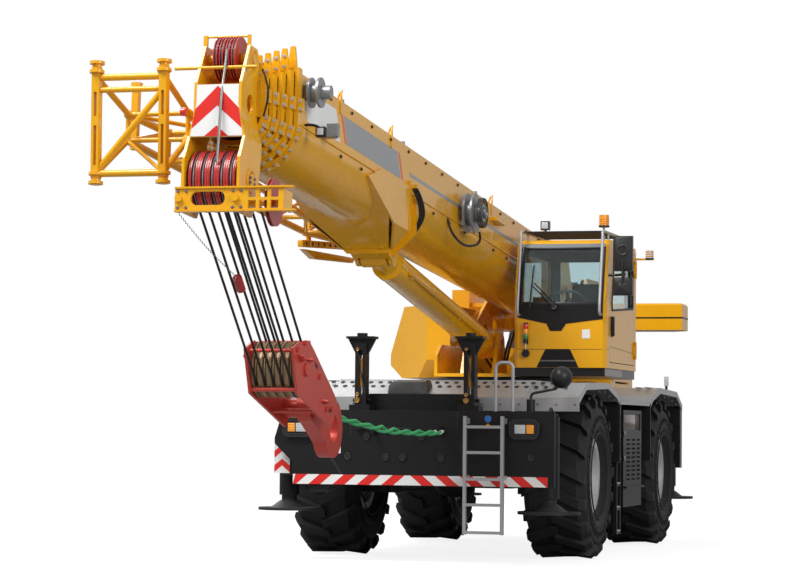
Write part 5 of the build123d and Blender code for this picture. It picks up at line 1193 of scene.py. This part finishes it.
@dataclass
class UpperTrim(SubAssembly):
    """Seams, bolts, stripe and hoses of the superstructure."""

    body: str = "upper"
    face: Matrix = fixed(COUNTERWEIGHT_FRONT)

    def fit(self) -> None:
        """Counterweight's stripe, housing's seams and bolts, cheek bolts and cylinder hoses."""
        for side in BOTH:
            line = [(-side * x, z) for x, z in rect((-3.0, 2.795), (-3.45, 2.815))]
            place = stand((0, side * 1.68, 0), outward(side))
            self.add("weight_stripe", BLACK, plate(line, place, 0.003))
        self.film("weight_stripe", BLACK, rect((-1.68, 2.795), (1.68, 2.815)), 0.003)
        self.bolts("housing_bolts", STEEL, 0.011, [
            stand((x, -1.384, z), RIGHT) for x in (-1.5, -1.0, -0.5) for z in (2.14, 2.23)])
        for x in (-1.2, -0.6):
            self.add("housing_seams", CHARCOAL, block(
                (x, -1.386, 2.125), (x + 0.004, -1.378, 2.245), 0))
        self.add("housing_handle", BLACK, pipe(0.008, (-0.9, -1.36, 2.34), (-0.9, -1.40, 2.36),
                                               (-0.78, -1.40, 2.36), (-0.78, -1.36, 2.34)))
        self.bolts("pivot_bolts", STEEL, 0.014, [
            stand((-2.1 + x, side * 0.48, 2.95 + z), outward(side))
            for side in BOTH for x, z in around(8, 0.17)])
        for i, y in enumerate((-0.36, -0.31, -0.26, 0.27, 0.32)):
            lift = 0.05 * i
            self.add("cylinder_hoses", HOSE, pipe(
                0.016, (-1.4, y, 2.05), (-0.9, y, 2.20 + lift), (-0.2, y * 0.9, 2.42 + lift),
                (0.35, y * 0.8, 2.36 + lift), (0.62, y * 0.75, 2.12)))
        for y in (-0.03, 0.09):
            self.add("winch_lead", WIRE, bar(ROPE_RADIUS, (-3.10, y, 3.258), (-2.72, y, 3.38)))
        self.add("winch_rope", WIRE, *(
            ring((-3.12 + 0.004 * i, -0.34 + 0.014 * i, 3.11), LEFT, 0.141, 0.008, 28)
            for i in range(49)))


# ================================================================ boom
@dataclass
class BaseBoom(SubAssembly):
    """Base section's films, ledges, bolts, rope guides, hoses and stowed jib's arm."""

    body: str = "boom_base"
    place: Matrix = fixed(BOOM)
    side_y: float = 0.4
    top_z: float = 0.577

    def films(self) -> None:
        """Blank grey band with red ends, a pale panel before it and a fine band behind."""
        for side in BOTH:
            place = stand((0, side * self.side_y, 0), outward(side))
            for name, finish, low, high, x0, x1, x2, x3 in (
                    ("boom_band", GREY_FILM, 0.22, 0.46, 7.95, 9.75, 9.9, 8.1),
                    ("boom_panel", WHITE, 0.20, 0.47, 9.98, 10.95, 11.05, 10.13),
                    ("band_ends", REFLECTIVE, 0.22, 0.46, 7.86, 7.91, 8.06, 8.01),
                    ("band_ends", REFLECTIVE, 0.22, 0.46, 9.78, 9.83, 9.98, 9.93),
                    ("fine_band", GREY_FILM, 0.30, 0.335, 2.6, 7.6, 7.66, 2.66)):
                line = [(-side * x, z) for x, z in ((x0, low), (x1, low), (x2, high), (x3, high))]
                self.add(name, finish, plate(line, place, 0.0015))

    def ledges(self) -> None:
        """Welded ledge along each side, with its row of bolts and plug holes."""
        for side in BOTH:
            near, far = sorted((side * 0.398, side * 0.412))
            self.add("boom_ledge", YELLOW, block((0.6, near, 0.13), (11.2, far, 0.145), 0.003))
            self.bolts("side_plugs", CHARCOAL, 0.013, [
                stand((x + 0.65 * i, side * self.side_y, z), outward(side))
                for x, z, count in ((1.2, 0.53, 15), (1.5, 0.08, 14)) for i in range(count)])
        z = self.top_z
        for x in (2.0 + 2.1 * i for i in range(5)):
            self.add("top_pads", YELLOW, block((x, -0.12, z), (x + 0.25, 0.12, z + 0.012)))

    def guides(self) -> None:
        """Bent rope guides on top and the rope that runs through them."""
        z = self.top_z
        for x in (1.6, 4.23, 8.33, 10.01):
            self.add("rope_guides", YELLOW, block(
                (x - 0.02, 0.398, z - 0.12), (x + 0.02, 0.412, z + 0.04), 0.003))
            self.add("rope_guides", YELLOW, pipe(
                0.009, (x, 0.405, z), (x, 0.405, z + 0.07), (x - 0.05, 0.40, z + 0.11),
                (x - 0.12, 0.34, z + 0.06), (x - 0.13, 0.33, z)))
            self.add("guide_rollers", STEEL, bar(0.02, (x, -0.18, z + 0.045), (x, 0.18, z + 0.045)))
            for y in (-0.19, 0.17):
                self.add("rope_guides", YELLOW, block(
                    (x - 0.03, y, z), (x + 0.03, y + 0.02, z + 0.09), 0.003))
        for y in (-0.03, 0.09):
            self.add("hoist_rope", WIRE, bar(
                ROPE_RADIUS, (-0.58, y, 0.42), (0.2, y, 0.62), (2.6, y, z + 0.07),
                (11.28, y, z + 0.07)))

    def hoses(self) -> None:
        """Hose loop of the cable reel, hoses at the luffing bracket and the work lamp."""
        self.add("reel_hose", HOSE, pipe(
            0.013, (5.55, 0.60, 0.06), (5.45, 0.60, -0.02), (5.62, 0.56, -0.10),
            (5.85, 0.50, -0.12), (6.05, 0.46, -0.06), (6.12, 0.42, 0.03), (6.13, 0.405, 0.12)))
        for y in (0.43, 0.45, 0.47):
            self.add("bracket_hoses", HOSE, pipe(
                0.012, (7.6, y, 0.18), (7.45, y + 0.03, 0.08), (7.36, y + 0.02, -0.14),
                (7.34, 0.28, -0.32)))
        self.add("reel_cable", HOSE, *(
            ring((5.535, 0.60 + 0.012 * i, 0.266), LEFT, 0.15 + 0.004 * (i % 2), 0.007, 36)
            for i in range(5)))
        self.add("reel_hub", STEEL, disc((5.535, 0.64, 0.266), LEFT, 0.06, 0.03, 0.01))
        self.add("work_lamp", BLACK, block((11.0, 0.505, 0.05), (11.06, 0.595, 0.14), 0.012))
        self.add("work_lamp", PLASTIC, pipe(
            0.012, (11.02, 0.40, 0.16), (11.02, 0.50, 0.17), (11.02, 0.55, 0.12)))
        self.add("work_lamp_glass", LENS, block((11.058, 0.52, 0.065), (11.064, 0.58, 0.125)))

    def stowed_arm(self) -> None:
        """Perforated beam of the jib's inner end, its holes drawn as dark discs of painted shade,
        and the tapered arm under it.
        """
        front, rear = Vector((7.3, -0.80, -0.30)), Vector((5.85, -0.80, -0.12))
        place, length = placed(front, rear - front), (rear - front).length
        beam = block((0, -0.03, -0.035), (length, 0.03, 0.035), 0.006)
        self.add("jib_beam", YELLOW, moved(beam, place))
        for i in range(7):
            # Charcoal discs stand in for the beam's holes: painted shade.
            hole = disc((0.12 + 0.2 * i, 0.03, 0), LEFT, 0.022, 0.003, 0.002, 16)
            self.add("jib_beam_holes", CHARCOAL, moved(hole, place))
        line = [(-7.25, -0.35), (-5.45, -0.19), (-5.55, -0.255), (-6.9, -0.40)]
        self.add("jib_arm", YELLOW, plate(line, stand((0, -0.83, 0), LEFT), 0.06, 0.004), *(
            block((x - 0.03, -0.80, z), (x + 0.03, -0.76, z + 0.30))
            for x, z in ((7.1, -0.31), (6.0, -0.16))))

    def fit(self) -> None:
        """All of the base section's fittings, with its collar's bolts."""
        self.films()
        self.ledges()
        self.guides()
        self.hoses()
        self.stowed_arm()
        self.bolts("base_collar_bolts", ZINC, 0.014, collar_bolts(self.side_y, 11.3))


def collar_bolts(half: float, front: float) -> list[Matrix]:
    """Places of the bolts on a collar's stepped pads.

    Args:
        half: half of the section's width.
        front: the collar's front face along the boom.

    Returns:
        One place for each bolt, looking forward.
    """
    spots, reach = [], half + 0.03
    for side in BOTH:
        for degrees, shift in product((14, 38, 62), (-0.035, 0.035)):
            a = math.radians(degrees)
            spots.append((side * (reach * math.cos(a) + shift * math.sin(a)),
                          0.137 - reach * math.sin(a) + shift * math.cos(a)))
        spots += [(side * reach, 0.25), (side * reach, 0.32)]
    return [stand((front - 0.028, y, z), FRONT) for y, z in spots]


@dataclass
class Section(SubAssembly):
    """Collar bolts of one telescoping section."""

    place: Matrix = fixed(BOOM)

    index: int = 1

    def __post_init__(self) -> None:
        """Finds the body of the section, which is numbered from the base section's zero."""
        self.body = f"boom_section_{self.index + 1}"

    def fit(self) -> None:
        """Bolts on the collar's pads and on its upper corners."""
        half, front = 0.4 - 0.04 * self.index, 11.3 + 0.1 * self.index
        name, top = f"section_{self.index + 1}_bolts", 0.577 - 0.04 * self.index
        self.bolts(name, ZINC, 0.015, collar_bolts(half, front))
        self.bolts(name, ZINC, 0.012, [
            stand((front - 0.03, side * (half - 0.05), top + z), FRONT)
            for side in BOTH for z in (0.06, 0.15)])


@dataclass
class Head(SubAssembly):
    """Boom head's chevrons, rope over them, lamp and bracket fittings."""

    body: str = "boom_section_5"
    place: Matrix = fixed(BOOM)
    face: Matrix = fixed(stand((12.12, 0, 0), FRONT))
    low: float = -0.130
    bend: float = 0.138
    high: float = 0.298
    rise: float = 0.19
    band: float = 0.165

    def half_at(self, z: float) -> float:
        """Half width of the front plate at a height."""
        return 0.181 + max(0.0, self.bend - z) / 0.274 * 0.047

    def chevrons(self) -> None:
        """White plate with red chevrons that point up."""
        levels = (self.low, self.bend, self.high)
        white = [(self.half_at(z), z) for z in levels]
        white = [(-white[0][0], self.low), *white, *((-half, z) for half, z in white[:0:-1])]
        self.film("head_white", WHITE, white, 0.003)
        for tip, side in product((-0.043, 0.287), BOTH):
            self.film("head_red", REFLECTIVE, self.arm(tip, side), 0.001, 0.003)

    def arm(self, tip: float, side: int) -> list[Point]:
        """Outline of one half of a chevron, cut off along the plate's lower edge.

        Args:
            tip: height of the chevron's point.
            side: side of the middle that it lies on.

        Returns:
            The corners, in y and z.
        """
        def edge(height: float) -> tuple[float, float]:
            """Point where the line from the middle at a height meets the edge or the foot.

            Args:
                height: height of the line at the middle.

            Returns:
                The point.
            """
            if height - self.rise >= self.low:
                return side * self.half_at(height - self.rise), height - self.rise
            return side * self.half_at(self.low) * (height - self.low) / self.rise, self.low

        under = tip - self.band
        if under > self.low:
            return [(0, tip), edge(tip), edge(under), (0, under)]
        return [(0, tip), edge(tip), (0, self.low)]

    def ropes(self) -> None:
        """Grey rope over the front plate and black ropes to the top sheaves."""
        self.add("front_rope", GREY_WIRE, pipe(
            0.012, (12.035, 0.034, 0.60), (12.06, 0.034, 0.46), (12.14, 0.036, 0.20),
            (12.165, 0.04, -0.12), (12.190, 0.04, -0.36)))
        for y in (-0.018, 0.085):
            self.add("head_rope", WIRE, pipe(
                ROPE_RADIUS, (11.33, y, 0.645), (11.65, y, 0.70), (11.80, y, 0.742)))

    def sheave(self, name: str, at: Vector, radius: float, rope: float, edge: float,
               half: float, sides: int) -> None:
        """Rope in a sheave's groove and red rings on the sheave's two edges, whose slight glow is a
        painted highlight.

        Args:
            name: the rope's name.
            at: the sheave's middle.
            radius: radius of the rope's ring; the edges are 14 mm larger.
            rope: the rope's radius.
            edge: the edge rings' radius.
            half: half of the width between the edges.
            sides: fineness of the rings.
        """
        self.add(name, GREY_WIRE, ring(at, LEFT, radius, rope, sides))
        for shift in (-half, half):
            # The red lens finish glows a little: a painted highlight on the edge rings.
            self.add("sheave_edges", LENS_RED, ring(
                at + Vector((0, shift, 0)), LEFT, radius + 0.014, edge, sides))

    def fittings(self) -> None:
        """Ball lamp, bracket bolts, cheek reinforcement rings and the guard's pins."""
        for i in range(5):
            at = HEAD_SHEAVES + Vector((0, FALL_PITCH * (i - 2), 0))
            self.sheave("groove_ropes", at, 0.235, 0.011, 0.006, 0.03, 56)
        for i in range(4):
            at = TOP_SHEAVES + Vector((0, 0.008 + 0.052 * (i - 1.5), 0))
            self.sheave("top_groove_ropes", at, 0.168, 0.009, 0.005, 0.014, 48)
        self.add("height_lamp", LENS_RED, disc((12.10, -0.27, 0.08), RIGHT, 0.035, 0.05))
        (top_x, _, top_z), (x, _, z) = TOP_SHEAVES, HEAD_SHEAVES
        for side in BOTH:
            facing = outward(side)
            self.add("cheek_rings", YELLOW,
                     ring((top_x, side * 0.206, top_z), facing, 0.075, 0.014),
                     ring((x, side * 0.252, z), facing, 0.09, 0.016))
            self.bolts("head_bolts", STEEL, 0.011, [
                stand((x + 0.06 * math.cos(a), side * 0.265, z + 0.04 * math.sin(a)), facing)
                for a in (0.5, 2.6, 3.7, 5.8)])
        self.bolts("head_bolts", STEEL, 0.010, [
            stand((12.225, y, z), FRONT)
            for y in (-0.27, -0.2, 0.2, 0.27) for z in (-0.60, -0.735)])
        self.add("cable_loop", HOSE, pipe(
            0.009, (11.72, 0.24, 0.50), (11.80, 0.30, 0.42), (11.78, 0.33, 0.25),
            (11.74, 0.27, 0.10)))
        self.add("cross_bars", YELLOW, bar(0.012, (12.10, -0.228, -0.466), (12.10, 0.228, -0.466)))

    def fit(self) -> None:
        """All of the head's fittings."""
        self.chevrons()
        self.ropes()
        self.fittings()


@dataclass
class HookBlock(SubAssembly):
    """Hook block's welded lugs, ropes in the sheaves, latch and pins."""

    body: str = "hook_block"
    place: Matrix = fixed(BLOCK)
    half: float = 0.226

    def side_plate(self, side: int) -> None:
        """Lugs, pins and windows of one side plate; the windows are dark sheets of painted shade.

        Args:
            side: the side that it stands on, 1 or -1.
        """
        out = side * self.half
        facing = UP if side > 0 else Matrix.Rotation(math.pi, 4, "X")
        upright = (Matrix.Rotation(math.pi / 2, 4, "X") @ Matrix.Translation((0, 0, -0.01))
                   @ Matrix.Scale(side, 4, (0, 1, 0)))
        for x, y, turn in ((-0.05, 0.12, 0.3), (0.52, -0.02, 0.2), (-0.30, 0.02, -0.2)):
            place = stand((x, y, out), Matrix.Rotation(turn, 4, "Z")) @ upright
            line = [(-0.07, -0.02), (0.07, -0.02), (0.035, 0.05), (-0.035, 0.05)]
            self.add("block_lugs", RED, plate(line, place, 0.02, 0.003))
        for x, y, radius in ((-0.38, 0.06, 0.024), (-0.22, 0.20, 0.024), (-0.08, 0.01, 0.06),
                             (0.30, 0.12, 0.024), (0.62, -0.05, 0.024), (0.76, 0.02, 0.024)):
            self.add("block_pins", RED, disc((x, y, out), facing, radius, 0.018, 0.006))
        # Charcoal sheets stand in for the windows' openings: painted shade.
        for x, y in ((0.18, 0.17), (0.70, -0.02)):
            line = rect((x - 0.05, y - 0.018), (x + 0.05, y + 0.018))
            place = Matrix.Translation((0, 0, out if side > 0 else out - 0.001))
            self.add("block_windows", CHARCOAL, plate(line, place, 0.001))

    def fit(self) -> None:
        """Both side plates' fittings, ropes round the sheaves and the hook's latch."""
        for side in BOTH:
            self.side_plate(side)
        for y in (FALL_PITCH * (i - 2) for i in range(5)):
            self.add("sheave_ropes", ROPE_TAN, ring((-0.08, 0.01, y), UP, 0.225, 0.012))
            for shift in (-0.024, 0.024):
                self.add("sheave_rims", ROPE_TAN, ring((-0.08, 0.01, y + shift), UP, 0.240, 0.006))
        latch = [(1.40, 0.24), (1.44, 0.30), (1.24, 0.20), (1.22, 0.14)]
        self.add("hook_latch", BRASS, plate(latch, Matrix.Translation((0, 0, -0.03)), 0.06, 0.006),
                 disc((1.47, 0.345, -0.02), UP, 0.03, 0.04))


@dataclass
class LimitWeight(SubAssembly):
    """Hoist limit's red weight on the first fall and its thin chain to the bracket."""

    body: str = "falls"
    place: Matrix = fixed(UP)
    links: int = 60

    def fit(self) -> None:
        """Weight round the rope, with its chain."""
        top, low = BOOM @ HEAD_SHEAVES, centre("block_sheaves")
        at = top.lerp(low, 0.44) + Vector((0.30, 0, -0.10))
        weight = disc((0, 0, 0), Matrix.Rotation(math.pi / 2, 4, "Y"), 0.04, 0.15, 0.01)
        self.add("limit_weight", SHEAVE, moved(weight, placed(at, low - top)))
        start, spots = BOOM @ Vector((12.2, -0.29, -0.75)), []
        for i in range(self.links):
            t = i / (self.links - 1)
            spot = start.lerp(at, t)
            spot.z -= 0.03 * math.sin(math.pi * t)
            spots.append(stand(spot, Matrix.Rotation(i * math.pi / 2, 4, "X")))
        self.add("limit_chain", STEEL, copies(ring((0, 0, 0), UP, 0.008, 0.0025, 10), spots))


# ================================================================ seat
@dataclass
class Seat(SubAssembly):
    """Operator's seat: a cushion and a backrest that swell from their foam."""

    body: str = "upper"
    swell: float = 0.014
    seam_depth: float = 0.004
    seam_pitch: float = 0.16

    def puff(self, piece: Piece) -> None:
        """Swells a pad under pressure, as far as its cover lets it.

        Args:
            piece: the pad.
        """
        remesh = piece.modifiers.new("voxels", "REMESH")
        remesh.voxel_size = 0.018
        bpy.ops.object.modifier_apply(modifier=remesh.name)
        before = [vertex.co.copy() for vertex in piece.data.vertices]
        cloth = piece.modifiers.new("swell", "CLOTH")
        cloth.settings.use_pressure = True
        cloth.settings.uniform_pressure_force = 4
        cloth.settings.effector_weights.gravity = 0
        for step in range(1, 16):
            bpy.context.scene.frame_set(step)
        work_on(piece)
        bpy.ops.object.modifier_apply(modifier=cloth.name)
        for vertex, start in zip(piece.data.vertices, before):
            move = vertex.co - start
            if move.length > self.swell:
                vertex.co = start + move.normalized() * self.swell
        bpy.context.scene.frame_set(1)

    def pad(self, name: str, low: Point, high: Point, lean: float = 0.0) -> Piece:
        """Crowned pad between two corners, its sides drawn in.

        Args:
            name: the pad's name.
            low: lowest corner.
            high: highest corner.
            lean: tilt about Y, in degrees.

        Returns:
            The pad's mesh, at rest in the frame.
        """
        low, high = Vector(low), Vector(high)
        clear_selection()
        bpy.ops.mesh.primitive_cube_add(size=1, scale=(high - low) * 0.94)
        piece = settle()
        edit_all(piece)
        bpy.ops.mesh.bevel(offset=0.03, segments=2, affect="EDGES")
        bpy.ops.mesh.subdivide(number_cuts=2)
        bpy.ops.object.mode_set(mode="OBJECT")
        self.puff(piece)
        for vertex in piece.data.vertices:
            seam = math.cos(vertex.co.y * 2 * math.pi / self.seam_pitch)
            if abs(vertex.co.y) < 0.15:
                vertex.co -= vertex.co.normalized() * self.seam_depth * max(0.0, seam) ** 6
        work_on(piece)
        finer = piece.modifiers.new("finer", "SUBSURF")
        finer.levels = finer.render_levels = 1
        bpy.ops.object.modifier_apply(modifier=finer.name)
        bpy.ops.object.shade_smooth()
        tilt = Matrix.Rotation(math.radians(lean), 4, "Y")
        self.mount(moved(piece, CARRIER @ stand((low + high) / 2, tilt)), name, CLOTH)
        return piece

    def fit(self) -> None:
        """Cushion and backrest in the space of their CAD solid."""
        self.pad("seat_cushion", (-0.16, 0.805, 2.37), (0.325, 1.265, 2.495))
        back = self.pad("seat_back", (-0.215, 0.815, 2.44), (-0.115, 1.255, 3.115), -8)
        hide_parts("cab_seat")


@dataclass
class CabInside(SubAssembly):
    """Levers, screen and switches inside the cab."""

    body: str = "upper"

    def fit(self) -> None:
        """Joysticks on both consoles, the display and the dash hood."""
        for y in (0.725, 1.345):
            self.add("joysticks", PLASTIC,
                     pipe(0.012, (0.48, y, 2.72), (0.49, y, 2.80), (0.50, y, 2.86)),
                     disc((0.50, y, 2.84), UP, 0.026, 0.075))
            self.add("gaiters", HOSE, disc((0.48, y, 2.72), UP, 0.05, 0.03))
            for x in (0.30, 0.25, 0.20, 0.15):
                self.add("switches", WHITE, block(
                    (x, y - 0.02, 2.725), (x + 0.03, y + 0.02, 2.733), 0.003))
        self.add("display", PLASTIC, block((1.10, 0.66, 2.66), (1.13, 0.90, 2.86), 0.01))
        self.add("display_face", GREY, block((1.094, 0.675, 2.675), (1.1005, 0.885, 2.845), 0.002))
        self.add("dash_hood", GREY, block((1.08, 0.72, 2.61), (1.26, 1.35, 2.66), 0.02))
        tilt = Matrix.Rotation(math.radians(-42), 4, "Y")
        self.add("wheel_hub", PLASTIC, disc((0.90, 1.035, 2.80), tilt, 0.06, 0.03, 0.008))


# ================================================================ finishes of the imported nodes
# Each finish with the nodes that have it, by the start of their names.
NODE_FINISHES: dict[Finish, tuple[str, ...]] = {
    YELLOW: ("engine_hood", "turntable", "counterweight", "side_housing", "cab_shell", "cab_door",
             "luff_barrel", "boom_base", "jib_lattice", "boom_head", "boom_section"),
    BLACK: ("chassis_frame", "front_outrigger_box", "rear_outrigger_box", "side_locker",
            "rest_posts", "beam"),
    CHARCOAL: ("axle_beams", "fuel_tank", "winches", "knuckle", "jack"),
    SILVER: ("ladders", "cab_fittings", "rim"), RED: ("block_frame", "hook"),
    GLASS: ("cab_glass", "door_glass"), IRON: ("drive_units",), DECK: ("fender_deck",),
    PLASTIC: ("bumper_fittings",), GEAR: ("slew_ring",), INSIDE: ("cab_interior",),
    CLOTH: ("cab_seat",), CHROME: ("luff_rod",), REEL: ("cable_reels",), WIRE: ("hoist_falls",),
    SHEAVE: ("head_sheaves",), BRONZE: ("block_sheaves",), RUBBER: ("tyre",),
}
FAR = 9.0
NODE_ZONES: dict[str, tuple[Zone, ...]] = {
    "engine_hood": (Zone(BLACK, (-FAR, -0.62, 1.94), (-3.7, 0.62, 2.3)),),
    "front_outrigger_box": (Zone(DECK, (3.2, -0.56, 1.5505), (3.282, 0.56, 1.75)),),
    "fender_deck": (Zone(BLACK, (-FAR, -1.62, 0.8), (3.1, 1.62, 1.684)),
                    Zone(BLACK, (0.9, -FAR, 0.8), (1.0, FAR, 1.69)),
                    Zone(BLACK, (-1.0, -FAR, 0.8), (-0.9, FAR, 1.69))),
    "ladders": (Zone(BLACK, (-1.0, -FAR, 0.0), (1.4, FAR, 1.8)),),
    "bumper_fittings": (Zone(SILVER, (3.87, 0.86, 1.5), (3.97, 1.12, 2.1)),),
    "turntable": (Zone(CHARCOAL, (-FAR, -FAR, 1.9), (FAR, FAR, 1.961)),),
    "cab_shell": (Zone(BLACK, (-FAR, 0.4, 1.9), (1.37, 1.6, 2.059)),
                  Zone(INSIDE, (-0.406, 0.554, 2.1), (1.32, 1.516, 3.456)),
                  Zone(BROWN, (0.35, 1.53, 1.975), (1.36, 1.56, 2.05))),
    "cab_fittings": (Zone(PLASTIC, (1.2, 1.56, 2.8), (1.6, 2.0, 3.6)),
                     Zone(AMBER, (0.83, 1.36, 3.66), (0.97, 1.50, 3.9)),
                     Zone(PLASTIC, (1.07, 0.74, 3.6), (1.16, 0.86, 3.8)),
                     Zone(CHARCOAL, (-0.3, 0.59, 3.57), (1.2, 1.48, 3.61)),
                     Zone(YELLOW, (-0.5, 1.56, 3.36), (-0.3, 2.0, 3.389)),
                     Zone(LENS, (-0.5, 1.56, 3.389), (-0.3, 2.0, 3.6))),
    "cab_door": (Zone(INSIDE, (-FAR, 1.5, 2.1), (FAR, 1.557, 3.45)),
                 Zone(PLASTIC, (1.07, 1.5605, 2.4), (1.12, 1.7, 2.7))),
    "luff_rod": (Zone(YELLOW, (-0.3, -0.4, -0.3), (0.3, 0.4, 0.3),
                      tuple(JOINTS["luff_rod_pin"]["pos_m"])),),
}


def dress_nodes() -> None:
    """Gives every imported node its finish, with the zones that differ."""
    for name, node in frame["nodes"].items():
        finish = next(f for f, starts in NODE_FINISHES.items() if name.startswith(starts))
        zones = NODE_ZONES.get(name, ())
        node.data.materials.clear()
        node.data.materials.append(finish.material(zones, name + "_look" if zones else ""))
        LOG.info("%s is in %s", name, finish.name)


# ================================================================ studio
@dataclass(frozen=True)
class Studio:
    """Pale floor, soft light, white background and the camera."""

    eye: tuple[float, float, float] = (30.135, 7.149, 1.366)
    yaw: float = math.radians(15.555)
    pitch: float = math.radians(3.0995)
    roll: float = math.radians(0.5425)
    lens: float = 119.19
    floor_size: float = 400.0
    fill: float = 0.42
    mirrored: float = 0.5
    floor_glow: float = 0.86
    floor_tone: float = 0.3

    def camera(self) -> None:
        """Long lens at eye height, before the left front corner."""
        level = math.cos(self.pitch)
        forward = Vector((-math.cos(self.yaw) * level, -math.sin(self.yaw) * level,
                          math.sin(self.pitch)))
        right = forward.cross(Vector((0, 0, 1))).normalized()
        up = right.cross(forward)
        turned = right * math.cos(self.roll) + up * math.sin(self.roll)
        raised = up * math.cos(self.roll) - right * math.sin(self.roll)
        data = bpy.data.cameras.new("camera")
        data.lens = self.lens
        data.sensor_width = 36
        data.clip_end = 500
        camera = bpy.data.objects.new("camera", data)
        bpy.context.scene.collection.objects.link(camera)
        matrix = Matrix((turned, raised, -forward)).transposed().to_4x4()
        matrix.translation = CARRIER @ Vector(self.eye)
        camera.matrix_world = matrix
        bpy.context.scene.camera = camera

    def floor(self) -> None:
        """Pale floor that shows near white and keeps the shadow."""
        clear_selection()
        bpy.ops.mesh.primitive_plane_add(size=self.floor_size, location=(0, 0, GROUND_Z))
        floor = settle()
        floor.name = "floor"
        made, wires, inputs = new_material("pale_floor")
        seen = wires.node("ShaderNodeLightPath").outputs["Is Camera Ray"]
        wires.fill(inputs, Base_Color=(*[self.floor_tone] * 3, 1), Roughness=0.9,
                   Specular_IOR_Level=0.1, Emission_Color=(1, 1, 1, 1),
                   Emission_Strength=wires.times(seen, self.floor_glow))
        floor.data.materials.append(made)

    def world(self) -> None:
        """White backdrop for what looks at it and a mild fill for the rest."""
        world = bpy.data.worlds.new("studio")
        bpy.context.scene.world = world
        world.use_nodes = True
        wires = Wiring(world.node_tree)
        path = wires.node("ShaderNodeLightPath").outputs
        seen = wires.math("MAXIMUM", path["Is Camera Ray"], path["Is Transmission Ray"])
        mirrored = wires.times(path["Is Glossy Ray"], self.mirrored - self.fill)
        extra = wires.math("ADD", wires.times(seen, 1 - self.fill), mirrored)
        wires.fill(world.node_tree.nodes["Background"].inputs, Color=(1, 1, 1, 1),
                   Strength=wires.math("ADD", extra, self.fill))

    def lamp(self, name: str, at: Point, size: float, power: float) -> None:
        """Square soft lamp that looks at the crane's middle.

        Args:
            name: its name.
            at: where it hangs.
            size: its width.
            power: its power in watts.
        """
        data = bpy.data.lights.new(name, "AREA")
        data.size = size
        data.energy = power
        lamp = bpy.data.objects.new(name, data)
        bpy.context.scene.collection.objects.link(lamp)
        lamp.location = at
        aim = Vector((0, 0, 2)) - Vector(at)
        lamp.rotation_euler = aim.to_track_quat("-Z", "Y").to_euler()

    def build(self) -> None:
        """Floor, world, lamps and camera, with plain colour management."""
        self.floor()
        self.world()
        self.lamp("key", (13, -7, 19), 9, 4600)
        self.lamp("left", (14, 15, 9), 9, 1500)
        self.lamp("rim", (-12, -10, 12), 8, 900)
        self.camera()
        bpy.context.scene.view_settings.view_transform = "Standard"


def main() -> None:
    """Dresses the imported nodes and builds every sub-assembly in order."""
    logging.basicConfig(level=logging.INFO, format="%(name)s: %(message)s")
    dress_nodes()
    corners = (("fl", 1, 1), ("fr", 1, -1), ("rl", -1, 1), ("rr", -1, -1))
    assemblies: list[SubAssembly] = [
        Bumper(), Deck(), CarrierTrim(), Cab(), Door(), UpperTrim(), BaseBoom(), Head(),
        HookBlock(), LimitWeight(), Seat(), CabInside()]
    assemblies += [Section(index=index) for index in range(1, 5)]
    assemblies += [WheelTrim(name=name, side=side) for name, _, side in corners]
    assemblies += [BeamEnd(name=name, end=end) for name, end, _ in corners]
    for assembly in assemblies:
        LOG.info("building %s", type(assembly).__name__)
        assembly.build()
    Studio().build()


if __name__ == "__main__":
    main()
